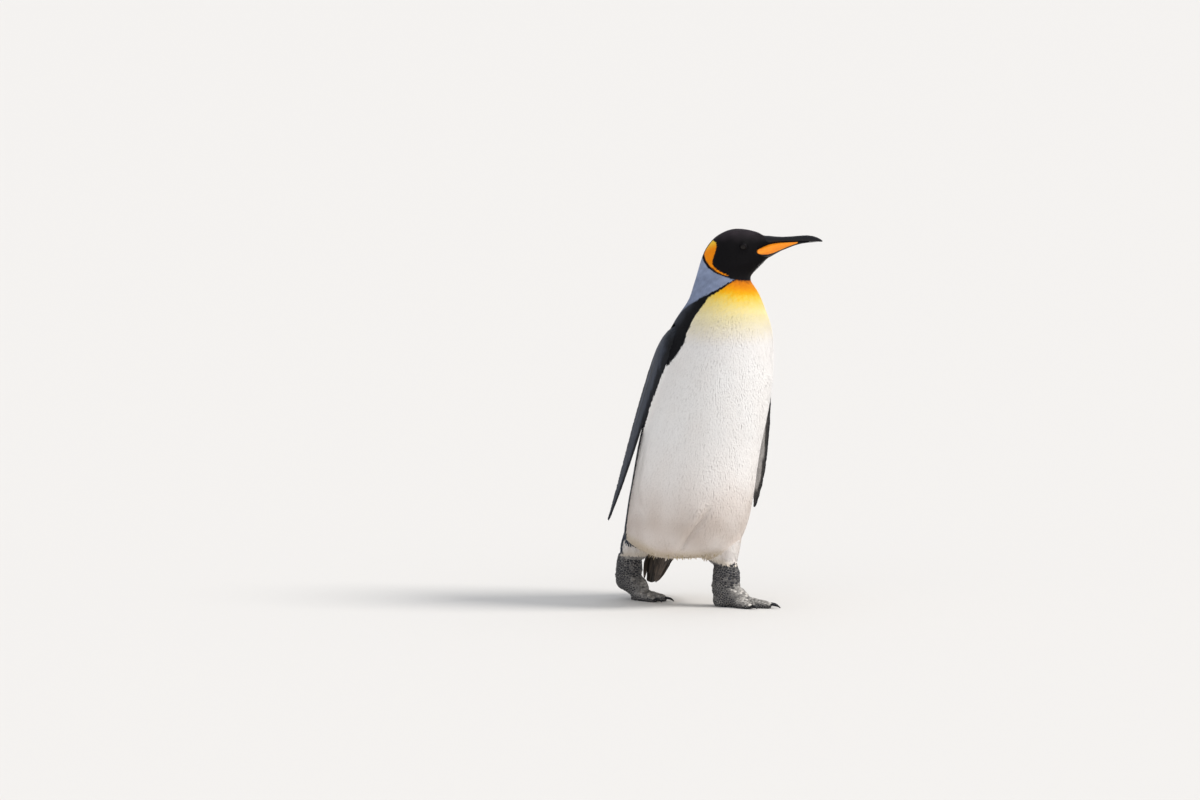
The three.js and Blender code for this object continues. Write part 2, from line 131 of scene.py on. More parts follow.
def on_body(points):
    """Each point's place left and forward of the axis, as the neck is turned there, and its angle round the
    axis in degrees: 0 in front, positive to the bird's left, 180 behind."""
    z = points[:, 2]
    axis = HEAD_AXIS[:2] - LEAN * (leaning(HEAD_AXIS[2]) - leaning(z))[:, None]
    turn = HEAD_TURN * smoothstep(*TURN_HEIGHTS, z)
    x, y = (points[:, :2] - axis).T
    left = x * np.cos(turn) + y * np.sin(turn)
    forward = x * np.sin(turn) - y * np.cos(turn)
    return left, forward, np.degrees(np.arctan2(left, forward - AXIS_FORWARD))


def in_head(points):
    """Each point's place left and forward of the axis, as the head faces."""
    offset = points - HEAD_AXIS
    return offset @ HEAD_LEFT, offset @ HEAD_FORWARD


# ---- Meshes as arrays ----
def corners_and_faces(mesh):
    mesh.calc_loop_triangles()
    points = np.zeros(len(mesh.vertices) * 3, np.float32)
    mesh.vertices.foreach_get("co", points)
    faces = np.zeros(len(mesh.loop_triangles) * 3, np.int32)
    mesh.loop_triangles.foreach_get("vertices", faces)
    return points.reshape(-1, 3).astype(float), faces.reshape(-1, 3)


def mesh_object(name, points, faces, smooth=True):
    mesh = bpy.data.meshes.new(name)
    mesh.vertices.add(len(points))
    mesh.vertices.foreach_set("co", np.asarray(points, np.float32).ravel())
    mesh.loops.add(faces.size)
    mesh.loops.foreach_set("vertex_index", faces.astype(np.int32).ravel())
    mesh.polygons.add(len(faces))
    mesh.polygons.foreach_set("loop_start", np.arange(0, faces.size, faces.shape[1], dtype=np.int32))
    mesh.polygons.foreach_set("use_smooth", np.full(len(faces), smooth))
    mesh.update(calc_edges=True)
    thing = bpy.data.objects.new(name, mesh)
    bpy.context.scene.collection.objects.link(thing)
    return thing


def solid_of(node):
    """The corners and faces of a CAD node's solid."""
    return corners_and_faces(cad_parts[node].data)


def tree_of(points, faces):
    """A tree that finds the nearest place on a mesh, or where a ray meets it."""
    return BVHTree.FromPolygons(points.tolist(), faces.tolist())


def joined(nodes):
    """Several CAD nodes as one set of corners and faces, and which node each face is from."""
    points, faces, owners, start = [], [], [], 0
    for i, node in enumerate(nodes):
        p, f = solid_of(node)
        points.append(p)
        faces.append(f + start)
        owners.append(np.full(len(f), i))
        start += len(p)
    return np.concatenate(points), np.concatenate(faces), np.concatenate(owners)


def remeshed(nodes, voxel):
    """The nodes grown together into one even mesh."""
    points, faces, _ = joined(nodes)
    rough = mesh_object("rough", points, faces)
    grow = rough.modifiers.new("grow", "REMESH")
    grow.mode = "VOXEL"
    grow.voxel_size = voxel
    mesh = bpy.data.meshes.new_from_object(rough.evaluated_get(bpy.context.evaluated_depsgraph_get()))
    bpy.data.objects.remove(rough)
    return corners_and_faces(mesh)


class Surface:
    """A closed mesh as arrays, with a tree that finds its nearest point."""

    def __init__(self, points, faces):
        self.points = points
        self.faces = faces
        edges = np.concatenate([faces[:, [0, 1]], faces[:, [1, 2]], faces[:, [2, 0]]])
        edges = np.unique(np.sort(edges, axis=1), axis=0)
        self.ends = np.concatenate([edges, edges[:, ::-1]])
        self.valence = np.bincount(self.ends[:, 0], minlength=len(points))
        self.settle()

    def settle(self):
        """Works out the normals and the tree again after the points have moved."""
        a, b, c = (self.points[self.faces[:, k]] for k in range(3))
        self.face_cross = np.cross(b - a, c - a)
        normals = np.zeros_like(self.points)
        for k in range(3):
            for d in range(3):
                normals[:, d] += np.bincount(self.faces[:, k], self.face_cross[:, d], len(normals))
        self.normals = unit(normals)
        self.middles = (a + b + c) / 3
        self.tree = tree_of(self.points, self.faces)

    def neighbour_mean(self, values):
        """The mean of each corner's neighbours."""
        here, there = self.ends.T
        columns = values.reshape(len(values), -1).T
        sums = [np.bincount(here, column[there], len(values)) for column in columns]
        return (np.array(sums) / self.valence).T.reshape(values.shape)

    def evened(self, values, passes):
        """The values after each corner has taken its neighbours' mean, so many times over."""
        for _ in range(passes):
            values = self.neighbour_mean(values)
        return values

    def relax(self, passes, weight):
        """Moves each corner by its weight towards its neighbours' mean, so many times over."""
        weight = np.broadcast_to(weight, len(self.points))[:, None]
        for _ in range(passes):
            self.points = self.points + weight * (self.neighbour_mean(self.points) - self.points)
        self.settle()

    def nearest(self, points):
        """For each point, the nearest place on the surface, the normal and the face there."""
        found = [self.tree.find_nearest(p) for p in points.tolist()]
        places = np.array([f[0] for f in found])
        faces = np.array([f[2] for f in found])
        return places, unit(self.normals[self.faces[faces]].mean(1)), faces


def let_out(form, solids, passes, broad=0, more=0, most=3 * MM):
    """Smoothing draws round forms in: this lets a smoothed form out again to the solids' own surface. The gap
    between them is evened out over some passes, and over more of them where the form is broad."""
    nearest = np.array([solids.find_nearest(p)[0] for p in form.points.tolist()])
    gap = form.evened(dot(nearest - form.points, form.normals).clip(-most, most), passes)
    gap = gap * (1 - broad) + form.evened(gap, more) * broad
    form.points = form.points + form.normals * gap[:, None]
    form.settle()


# ---- The skin ----
SKIN_VOXEL = 2.5 * MM
# How deep the coat is over each part, in mm, and how strongly the facets of its solid are smoothed away.
COAT = {"trunk": 6.0, "neck": 4.5, "head": 2.0, "tail": 3.0, "leg": 5.0, "flipper": 0.9, "foot": 0.0}
COAT |= {"bill": 1.5, "eye": 1.2}
SMOOTHING = {"trunk": 0.5, "neck": 0.4, "head": 0.12, "tail": 0.06, "leg": 0.10, "flipper": 0.035}
SMOOTHING |= {"foot": 0.05, "bill": 0.02, "eye": 0.05}
SMOOTHING_PASSES = 120
SMOOTHING_EDGE = 6  # passes that even out the smoothing and the depth where two parts meet
LETTING_OUT_PASSES = (20, 50)  # over all of it, and more over the trunk and neck
BROAD_EDGE = 10  # passes that even out where the trunk and neck end
# A flipper grows smoothly out of the body: over the first share of its length, and fully so over the second.
SHOULDER_SHARES = (0.20, 0.4 * 0.20)
SHOULDER_SMOOTHING = 0.4
# The thighs run smoothly into the belly, above the first height in part and above the second in full.
JOINT_PASSES = 60
JOINT_EDGE = 8
JOINT_STRENGTH = 2.4
JOINT_HEIGHTS = (0.105, 0.118)


def kind(node):
    return node.split("_")[0]


# Folds of the belly and the flank. A path runs through angles round the body and heights. After it, in mm:
# how far the fold draws the skin in, its width, and how far it lets the skin out just above.
FOLDS = [
    ([(-33, 0.122), (-23, 0.183), (-9, 0.240)], 8, 8.5, 4.4),
    ([(-99, 0.46), (-99, 0.27), (-89, 0.23), (-66, 0.185)], 4.5, 13, 0),
]
BELLY_RADIUS = 0.130  # turns angles round the body into lengths
FOLD_FADE = (0.25, 0.68)  # it deepens up to the first share of its path, and fades from the second
LIP_AWAY, LIP_WIDE = 2.2, 1.6  # the lip's distance from the fold and its width, in widths of the fold


def from_line(x, y, start, end):
    """How far each point is from the line between two places, and the share of the way along it."""
    (ax, ay), (bx, by) = start, end
    dx, dy = bx - ax, by - ay
    share = (((x - ax) * dx + (y - ay) * dy) / (dx * dx + dy * dy)).clip(0, 1)
    return np.hypot(x - ax - share * dx, y - ay - share * dy), share


def fold(points, path, depth, width, lip):
    """How far a fold draws the skin in at each point."""
    _, _, angle = on_body(points)
    x, y = np.radians(angle) * BELLY_RADIUS, points[:, 2]
    stops = [(math.radians(a) * BELLY_RADIUS, z) for a, z in path]
    off = np.full(len(x), np.inf)
    run = np.zeros(len(x))
    for i, ((ax, ay), (bx, by)) in enumerate(zip(stops, stops[1:])):
        away, share = from_line(x, y, (ax, ay), (bx, by))
        nearer = away < np.abs(off)
        side = np.sign((x - ax) * (by - ay) - (y - ay) * (bx - ax))
        off = np.where(nearer, away * side, off)
        run = np.where(nearer, (i + share) / (len(stops) - 1), run)
    fade = smoothstep(0, FOLD_FADE[0], run) * smoothstep(1, FOLD_FADE[1], run)
    valley = np.exp(-((off / width) ** 2))
    above = np.exp(-(((off + LIP_AWAY * width) / (LIP_WIDE * width)) ** 2))
    return fade * (depth * valley - lip * above)


WRINKLE = 1.1 * MM  # half the height of the shanks' wrinkles
WRINKLE_HEIGHTS = (0.022, 0.045)  # they begin over the toes, between these heights


def wrinkles(points):
    """The level wrinkles of the shanks, large ones with smaller ones over them."""
    large = ripple(points * [1, 1, 2.6], 0.024, 41)
    small = ripple(points * [1, 1, 1.8], 0.012, 42)
    return WRINKLE * (large + 0.6 * small) * smoothstep(*WRINKLE_HEIGHTS, points[:, 2])


PLATE_PROUD = 1.0 * MM  # the skin is drawn in to this far below the bill's plates where it would hide them
PLATE_REACH = 10 * MM  # and by no more than this
PLATE_HALF = 0.06  # a plate lies within this far of its middle
PLATE_FACING = 0.3  # only where the plate faces outward by more than this
PLATE_EDGE = 3  # passes that ease the skin round a plate


def over_plates(points):
    """How far the skin stands over the bill's plates, for the points that are over one of them."""
    over = np.zeros(len(points))
    for side in SIDES:
        corners, faces = solid_of(f"bill_plate_{side}")
        plate = tree_of(corners, faces)
        outward = HEAD_LEFT * OUT[side]
        near = np.linalg.norm(points - corners.mean(0), axis=1) < PLATE_HALF
        for i in np.flatnonzero(near):
            start = points[i] + outward * PLATE_REACH
            hit, normal, _, _ = plate.ray_cast(start.tolist(), (-outward).tolist())
            if hit is not None and np.dot(normal, outward) > PLATE_FACING:
                over[i] = max(0.0, np.dot(points[i] - np.array(hit), outward) + PLATE_PROUD)
    return over.clip(0, PLATE_REACH)


def grow_skin():
    """One skin over all the flesh, with each face's CAD node and each corner's depth below the coat."""
    nodes = FLESH + SET_IN
    solid_points, solid_faces, owners = joined(nodes)
    solids = tree_of(solid_points, solid_faces)
    skin = Surface(*remeshed(nodes, SKIN_VOXEL))

    def owner_of(points):
        return owners[[solids.find_nearest(p)[2] for p in points.tolist()]]

    at_corner = owner_of(skin.points)

    def belongs_to(*names):
        return np.isin(at_corner, [nodes.index(name) for name in names])

    smoothing = np.array([SMOOTHING[kind(n)] for n in nodes])[at_corner]
    depth = np.array([COAT[kind(n)] for n in nodes])[at_corner] * MM
    for side in SIDES:
        low, high = (corner[2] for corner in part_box(f"flipper_{side}"))
        begin, full = (high - share * (high - low) for share in SHOULDER_SHARES)
        shoulder = smoothstep(begin, full, skin.points[:, 2])
        rounded = smoothing + SHOULDER_SMOOTHING * shoulder
        smoothing = np.where(belongs_to(f"flipper_{side}"), rounded, smoothing)
    smoothing = skin.evened(smoothing, SMOOTHING_EDGE)
    depth = skin.evened(depth, SMOOTHING_EDGE)
    skin.relax(SMOOTHING_PASSES, smoothing)
    broad = skin.evened(belongs_to("trunk", "neck").astype(float), BROAD_EDGE)
    let_out(skin, solids, LETTING_OUT_PASSES[0], broad, LETTING_OUT_PASSES[1])
    joint = skin.evened(belongs_to(*both("leg")).astype(float), JOINT_EDGE)
    high_up = smoothstep(*JOINT_HEIGHTS, skin.points[:, 2])
    skin.relax(JOINT_PASSES, JOINT_STRENGTH * joint * (1 - joint) * high_up)
    skin.owner = owner_of(skin.middles)
    skin.nodes = nodes
    skin.depth = depth
    for path, *sizes in FOLDS:
        depth = depth + fold(skin.points, path, *(size * MM for size in sizes)) * belongs_to("trunk")
    depth = depth + wrinkles(skin.points) * belongs_to(*both("foot"))
    skin.points = skin.points - skin.normals * depth[:, None]
    skin.relax(2, 0.3)
    over = over_plates(skin.points)
    over = np.maximum(over, skin.evened(over, PLATE_EDGE))
    to_the_left = np.sign((skin.points - HEAD_AXIS) @ HEAD_LEFT)
    skin.points = skin.points - HEAD_LEFT * (over * to_the_left)[:, None]
    skin.settle()
    return skin


skin = grow_skin()


def faces_of(*nodes):
    return np.isin(skin.owner, [skin.nodes.index(n) for n in nodes])


# ---- Colours, as linear red, green and blue ----
def colour(code):
    """A colour written as a web code, made linear."""
    channels = np.array([int(code[i : i + 2], 16) for i in (0, 2, 4)]) / 255
    return np.where(channels <= 0.04045, channels / 12.92, ((channels + 0.055) / 1.055) ** 2.4)


WHITE = colour("f0edea")
CREAM = colour("e6dbd3")
FRINGE = colour("b9a67f")
DUSKY = colour("bfaea1")  # the lower belly
BLACK = colour("0b0b0f")
HOOD = colour("0c0a0d")
CROWN_SHEEN = colour("342d32")  # painted sheen: the hood's top made lighter, standing in for light on its glossy feathers
SLATE = colour("383d49")
SHOULDER_TONE_AND_SHEEN = colour("2a2e37")  # the black band's rear part, where it is wide: partly its own change towards the slate back, partly a painted sheen on the shoulder
NAPE = colour("909cb8")
PATCH = colour("ff9404")
PATCH_TOP = colour("ffd43e")
FOOT = colour("45454c")
DUST = colour("b4afa8")
TAIL = colour("2b2520")
QUILL_DARK, QUILL_PALE = colour("1c1815"), colour("4a3f36")
FLIPPER_INSIDE = colour("d6d3d0")
# The bib's colour by height, from under the hood down to the white breast.
BIB = [
    (0.742, colour("3a1e06")),
    (0.736, colour("9c5206")),
    (0.728, colour("e98503")),
    (0.714, colour("fba604")),
    (0.705, colour("fcbc14")),
    (0.696, colour("fad34e")),
    (0.680, colour("f6df88")),
    (0.655, colour("f0e3b2")),
    (0.630, colour("efe6cd")),
    (0.605, colour("efe9df")),
    (0.585, WHITE),
]
# How far round the body the white front reaches at each height, in degrees.
FRONT_EDGE = [
    (0.100, 111),
    (0.220, 109),
    (0.480, 109),
    (0.505, 107),
    (0.523, 99),
    (0.544, 92),
    (0.561, 86),
    (0.575, 81),
    (0.600, 76),
    (0.629, 78),
    (0.653, 87),
    (0.670, 96),
    (0.694, 105),
    (0.701, 103),
    (0.715, 93),
    (0.727, 80),
    (0.735, 65),
    (0.745, 40),
]
# How wide the black band behind it is, in degrees.
BAND_WIDTH = [
    (0.100, 4),
    (0.540, 6),
    (0.580, 18),
    (0.620, 40),
    (0.648, 48),
    (0.664, 45),
    (0.679, 33),
    (0.689, 22),
    (0.700, 13),
    (0.715, 8.5),
    (0.745, 6),
]
# The hood's lower edge behind and below: forward of the axis, height.
HOOD_EDGE = [(-0.046, 0.794), (-0.0395, 0.777), (-0.029, 0.7618), (-0.0095, 0.7500), (0.0140, 0.7420)]
HOOD_EDGE += [(0.031, 0.7368), (0.063, 0.7325)]
# The patch behind the cheek, round its outline: forward of the axis, height.
PATCH_OUTLINE = [
    (-0.0120, 0.8190),
    (-0.0105, 0.8110),
    (-0.0130, 0.8000),
    (-0.0185, 0.7850),
    (-0.0200, 0.7730),
    (-0.0155, 0.7640),
    (-0.0040, 0.7562),
    (0.0090, 0.7496),
    (0.0175, 0.7462),
    (0.0080, 0.7474),
    (-0.0070, 0.7532),
    (-0.0240, 0.7655),
    (-0.0335, 0.7780),
    (-0.0380, 0.7910),
    (-0.0370, 0.8040),
    (-0.0300, 0.8175),
    (-0.0200, 0.8250),
]


def along(table, where, column=1):
    """Reads a table of rows, in order of their first number, between its rows."""
    rows = sorted(table, key=lambda row: row[0])
    keys = [row[0] for row in rows]
    values = np.array([row[column] for row in rows], float)
    if values.ndim == 1:
        return np.interp(where, keys, values)
    return np.stack([np.interp(where, keys, channel) for channel in values.T], -1)


def outside(outline, x, y):
    """How far each point is outside a closed outline, and negative inside it."""
    corners = np.array(outline)
    nearest = np.full(len(x), np.inf)
    inside = np.zeros(len(x), bool)
    for (ax, ay), (bx, by) in zip(corners, np.roll(corners, -1, axis=0)):
        nearest = np.minimum(nearest, from_line(x, y, (ax, ay), (bx, by))[0])
        crosses = (ay > y) != (by > y)
        inside ^= crosses & (x < ax + (y - ay) * (bx - ax) / ((by - ay) or 1e-12))
    return np.where(inside, -nearest, nearest)


# The belly's underside rises towards the right leg: where that starts, and its slope along X and Y.
RISE_FROM = np.array([-0.0816, 0.0489])
RISE_SLOPE = np.array([-0.36, 0.22])


def belly_rise(points):
    """How much higher the belly ends over each point than at its lowest."""
    return np.maximum(0, (points[:, :2] - RISE_FROM) @ RISE_SLOPE)


# Heights between which one colour gives way to another.
CREAM_HEIGHTS = (0.40, 0.20)
DUSKY_HEIGHTS = (0.30, 0.17)
FRINGE_HEIGHTS = (0.136, 0.114)
BREAST_HEIGHTS = (0.615, 0.57)
NAPE_HEIGHTS = (0.618, 0.705)
CROWN_SHEEN_HEIGHTS = (0.818, 0.850)
PATCH_HEIGHTS = (0.800, 0.820)
UNDERSIDE_HEIGHTS = (0.17, 0.14)  # below these the white front reaches further round, under the belly
SHOULDER_SHEEN_DEGREES = (14, 32)  # the band turns to the shoulder's colour, partly a painted sheen, this far behind the white front
NAPE_GAP = (0.007, 0.010)  # the patches end this far from the middle of the nape


def body_colour(points, normals):
    """The markings of the trunk, neck and head."""
    _, _, angle = on_body(points)
    z = points[:, 2]
    underside = smoothstep(-0.5, -0.8, normals[:, 2]) * smoothstep(*UNDERSIDE_HEIGHTS, z)
    ragged = 0.8 * ripple(points, 0.011, 3) + 0.5 * ripple(points, 0.004, 4)
    angle = np.abs(angle) * (1 - 0.5 * underside) + ragged

    front = mix(WHITE, CREAM, 0.60 * smoothstep(*CREAM_HEIGHTS, z) + 0.1 * ripple(points, 0.09, 5))
    front = mix(front, DUSKY, (0.5 + 0.2 * ripple(points, 0.07, 13)) * smoothstep(*DUSKY_HEIGHTS, z))
    front = mix(front, FRINGE, 0.45 * smoothstep(*FRINGE_HEIGHTS, z - belly_rise(points)))
    bib = along(BIB, z + 0.004 * ragged - 0.00018 * np.maximum(0, angle - 45))
    front = mix(bib, front, smoothstep(*BREAST_HEIGHTS, z))

    back = mix(SLATE, NAPE, smoothstep(*NAPE_HEIGHTS, z + 0.006 * ragged))
    back = back * (1 + 0.10 * ripple(points, 0.02, 6) + 0.06 * ripple(points, 0.007, 7))[:, None]
    edge = along(FRONT_EDGE, z)
    band = along(BAND_WIDTH, z)
    behind = (edge + degrees for degrees in SHOULDER_SHEEN_DEGREES)
    # Partly a painted sheen: the band's rear part turns a lighter dark slate over the shoulder.
    dark = mix(BLACK, SHOULDER_TONE_AND_SHEEN, smoothstep(*behind, angle + 3 * ripple(points, 0.02, 16)))
    found = mix(front, dark, smoothstep(edge - 1.0, edge + 1.0, angle))
    fade = (edge + band - 0.6 - 0.12 * band, edge + band + 0.6 + 0.12 * band)
    found = mix(found, back, smoothstep(*fade, angle))

    # The hood comes over the rest, and the patch over the hood.
    head_left, head_forward = in_head(points)
    hood_edge = along(HOOD_EDGE, head_forward)
    # Painted sheen: the hood goes lighter towards its top.
    hood = mix(HOOD, CROWN_SHEEN, smoothstep(*CROWN_SHEEN_HEIGHTS, z + 0.003 * ripple(points, 0.03, 14)))
    found = mix(found, hood, smoothstep(-0.0012, 0.0012, z - hood_edge + 0.0006 * ragged))
    off = outside(PATCH_OUTLINE, head_forward, z)
    off_nape = smoothstep(*NAPE_GAP, np.abs(head_left))
    orange = mix(PATCH, PATCH_TOP, smoothstep(*PATCH_HEIGHTS, z - 0.5 * (head_forward + 0.024)))
    found = mix(found, orange, smoothstep(0.0009, -0.0009, off + 0.0004 * ragged) * off_nape)
    return np.clip(found, 0.002, 1)


def foot_colour(points):
    """The hide between the scales, pale with dust."""
    return mix(FOOT, DUST, 0.45 + 0.25 * ripple(points, 0.012, 12))


ANKLE = {"left": 0.099, "right": 0.100}  # the plumage ends at this height
ANKLE_RISE = {"left": 0.41, "right": 0.0}  # its edge rises this much for each metre along ANKLE_ASIDE
ANKLE_ASIDE = np.array([-0.865, 0.5])  # towards the bird's right and rear
ANKLE_TAN = (0.016, 0.0)  # the plumage goes tan between these heights over its edge
# A thigh is white where it faces back less than the first share, and dark where more than the second.
DARK_BEHIND = {"left": (0.40, 0.60), "right": (-0.10, 0.06)}


def ankle_height(side, points):
    """Where the plumage ends, over or below each point."""
    aside = (points[:, :2] - centre_of(f"leg_{side}")[:2]) @ ANKLE_ASIDE
    return ANKLE[side] + ANKLE_RISE[side] * aside.clip(-0.03, 0.03)


def leg_colour(side, points, normals):
    """Thighs that are white in front, dark behind and tan along their edge, over bare shanks."""
    behind = smoothstep(*DARK_BEHIND[side], normals[:, 1] + 0.10 * ripple(points, 0.012, 8))
    front = mix(WHITE, DUSKY, 0.40 + 0.15 * ripple(points, 0.03, 5))
    over_ankle = points[:, 2] - ankle_height(side, points)
    front = mix(front, FRINGE, 0.35 * smoothstep(*ANKLE_TAN, over_ankle))
    return mix(foot_colour(points), mix(front, SLATE, behind), smoothstep(-0.004, -0.001, over_ankle))


# ---- Flippers ----
FLIPPER_LEVELS = 24  # sections cut through each flipper
LEADING = np.array([0.24, -0.97, 0])  # from the trailing to the leading edge of the left flipper
# Of the upper half's painted shade along a groove and of the painted highlight along a ridge behind it: the
# share of the way back, and the width.
GROOVE_SHADE = (0.46, 0.055)
RIDGE_HIGHLIGHT = (0.60, 0.05)


class Flipper:
    """Where a point is on a flipper, read from its solid's shape."""

    def __init__(self, side):
        corners, faces = solid_of(f"flipper_{side}")
        self.out = OUT[side]
        self.low, self.high = corners[:, 2].min(), corners[:, 2].max()
        self.levels = np.linspace(self.low, self.high, FLIPPER_LEVELS + 2)[1:-1]
        self.chord = unit(LEADING * [self.out, 1, 1])
        begin, end = corners[faces], corners[np.roll(faces, -1, axis=1)]
        middles, fronts, backs = [], [], []
        for level in self.levels:
            cut = (begin[..., 2] - level) * (end[..., 2] - level) < 0
            a, b = begin[cut], end[cut]
            section = a + (b - a) * ((level - a[:, 2]) / (b[:, 2] - a[:, 2]))[:, None]
            places = section @ self.chord
            middles.append((section.min(0) + section.max(0)) / 2)
            fronts.append(places.max())
            backs.append(places.min())
        self.middles, self.fronts, self.backs = np.array(middles), np.array(fronts), np.array(backs)

    def place(self, points):
        """The shares of the way down and of the way back from the leading edge, and the metres behind it."""
        z = points[:, 2]
        down = (self.high - z) / (self.high - self.low)
        front = np.interp(z, self.levels, self.fronts)
        back = np.interp(z, self.levels, self.backs)
        behind = front - points @ self.chord
        return down, behind / np.maximum(front - back, 1e-4), behind

    def flow(self, points):
        """The way from the shoulder to the tip."""
        bend = [np.polyfit(self.levels, self.middles[:, k], 2) for k in (0, 1)]
        slopes = [np.polyval(np.polyder(b), points[:, 2]) for b in bend]
        return unit(np.stack([-slopes[0], -slopes[1], -np.ones(len(points))], -1))


flippers = {side: Flipper(side) for side in SIDES}


def flipper_colour(side, points, normals):
    """Slate outside, grey white inside, black along the leading edge, dark at the tip."""
    down, share, behind = flippers[side].place(points)
    streak = ripple(points * [1, 1, 0.12], 0.012, 9)
    slate = SLATE * (0.95 + 0.16 * streak + 0.06 * ripple(points, 0.006, 10))[:, None]
    upper = smoothstep(0.12, 0.22, down) * smoothstep(0.62, 0.40, down)
    # Painted shade along a groove and a painted highlight along a ridge on the upper half, which also goes
    # darker towards its rear edge.
    groove_shade, ridge_highlight = (np.exp(-(((share - at + 0.02 * streak) / wide) ** 2)) for at, wide in (GROOVE_SHADE, RIDGE_HIGHLIGHT))
    groove_shade = groove_shade + smoothstep(0.70, 0.86, share)
    slate = mix(slate * (1 + 0.9 * upper * ridge_highlight)[:, None], BLACK, 0.75 * upper * groove_shade.clip(0, 1))
    outer = mix(slate, BLACK, 0.85 * smoothstep(0.011, 0.004, behind + 0.002 * streak))
    dark_tip = smoothstep(0.86, 0.94, down + 0.04 * streak)
    dark_rim = smoothstep(0.013, 0.008, behind + 0.002 * streak)
    inner = mix(FLIPPER_INSIDE, SLATE * 0.8, 0.12 + 0.10 * streak)
    inner = mix(inner, BLACK, np.maximum(0.9 * dark_rim, 0.85 * dark_tip))
    inner = mix(inner, SLATE, smoothstep(0.88, 0.95, share))
    facing_out = smoothstep(-0.75, -0.45, normals[:, 0] * flippers[side].out)
    return np.clip(mix(inner, outer, facing_out), 0.002, 1)


def coat_colour(points, normals, owner):
    """The markings at points whose nearest CAD nodes are given."""
    found = body_colour(points, normals)
    for side in SIDES:
        mine = owner == skin.nodes.index(f"flipper_{side}")
        shoulder = smoothstep(0.10, 0.17, flippers[side].place(points[mine])[0])
        found[mine] = mix(found[mine], flipper_colour(side, points[mine], normals[mine]), shoulder)
        mine = owner == skin.nodes.index(f"leg_{side}")
        found[mine] = leg_colour(side, points[mine], normals[mine])
        mine = owner == skin.nodes.index(f"foot_{side}")
        found[mine] = foot_colour(points[mine])
    mine = owner == skin.nodes.index("tail")
    found[mine] = TAIL
    return np.clip(found, 0.002, 1)


# ---- Materials ----
def with_values(node, **sockets):
    """The shader node, with these values in its sockets."""
    for socket, value in sockets.items():
        node.inputs[socket.replace("_", " ")].default_value = value
    return node


def material(name, roughness, **sockets):
    made = bpy.data.materials.new(name)
    made.use_nodes = True
    tree = made.node_tree
    return made, tree, with_values(tree.nodes["Principled BSDF"], Roughness=roughness, **sockets)


def grain(tree, shader, size, strength, depth):
    """Fine bump from noise in the object's own space. Returns the noise."""
    where = tree.nodes.new("ShaderNodeTexCoord")
    noise = with_values(tree.nodes.new("ShaderNodeTexNoise"), Scale=1 / size, Detail=3)
    bump = with_values(tree.nodes.new("ShaderNodeBump"), Strength=strength, Distance=depth)
    tree.links.new(where.outputs["Object"], noise.inputs["Vector"])
    tree.links.new(noise.outputs["Fac"], bump.inputs["Height"])
    tree.links.new(bump.outputs["Normal"], shader.inputs["Normal"])
    return noise


PAINT = "Markings"  # the colour attribute that holds the markings
PAINT_VARIES = 0.05  # how much darker and lighter the markings go with the grain


def painted(name, roughness, grain_size, grain_depth, **sockets):
    """A material that takes its colour from the markings."""
    made, tree, shader = material(name, roughness, **sockets)
    noise = grain(tree, shader, grain_size, 0.5, grain_depth)
    paint = tree.nodes.new("ShaderNodeAttribute")
    paint.attribute_name = PAINT
    shade = tree.nodes.new("ShaderNodeMapRange")
    with_values(shade, To_Min=1 - PAINT_VARIES, To_Max=1 + PAINT_VARIES)
    vary = with_values(tree.nodes.new("ShaderNodeMix"), Factor=1)
    vary.data_type = "RGBA"
    vary.blend_type = "MULTIPLY"
    tree.links.new(noise.outputs["Fac"], shade.inputs["Value"])
    tree.links.new(paint.outputs["Color"], vary.inputs["A"])
    tree.links.new(shade.outputs["Result"], vary.inputs["B"])
    tree.links.new(vary.outputs["Result"], shader.inputs["Base Color"])
    return made


# Each has a roughness, and its grain's size and depth.
SHEEN = {"Sheen_Weight": 0.02, "Sheen_Roughness": 0.5}
PLUMAGE = painted("plumage", 0.66, 1.6 * MM, 0.15 * MM, Specular_IOR_Level=0.12, **SHEEN)
FLIPPER_SCALES = painted("flipper_scales", 0.50, 1.6 * MM, 0.15 * MM, Specular_IOR_Level=0.25)
HORNY = painted("horny_scales", 0.5, 1.0 * MM, 0.2 * MM, Specular_IOR_Level=0.35)
QUILL = painted("quill", 0.5, 1.2 * MM, 0.2 * MM, Specular_IOR_Level=0.3)


def paint(thing, colours):
    layer = thing.data.color_attributes.new(PAINT, "FLOAT_COLOR", "POINT")
    rgba = np.ones((len(colours), 4), np.float32)
    rgba[:, :3] = colours
    layer.data.foreach_set("color", rgba.ravel())


def finish_piece(thing, made):
    thing.data.materials.append(made)
    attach(thing, "root")


# ---- Feathers ----
# A vane's rows from root to tip: share of its length, share of its width.
LONG_VANE = [(0.0, 0.50), (0.45, 0.97), (0.84, 0.82)]
SHORT_VANE = [(0.0, 0.75), (0.6, 1.0)]
QUILL_VANE = [(0.0, 0.55), (0.25, 0.95), (0.55, 1.0), (0.80, 0.82), (0.94, 0.42)]
SOFTNESS = 0.70  # how far a feather is shaded as the surface it lies on, and not as its own flat blade
EDGE_TILT = 0.12  # how far a vane is shaded as if its edges turned down
BAKE_MAP = "OFBake"
BAKE_PATCH = 0.003  # a feather's width and length on the map
TRIES = 4.5  # places tried for each spacing squared


def point_tree(points):
    """A tree that finds the nearest of the points."""
    tree = KDTree(len(points))
    for i, p in enumerate(points.tolist()):
        tree.insert(p, i)
    tree.balance()
    return tree


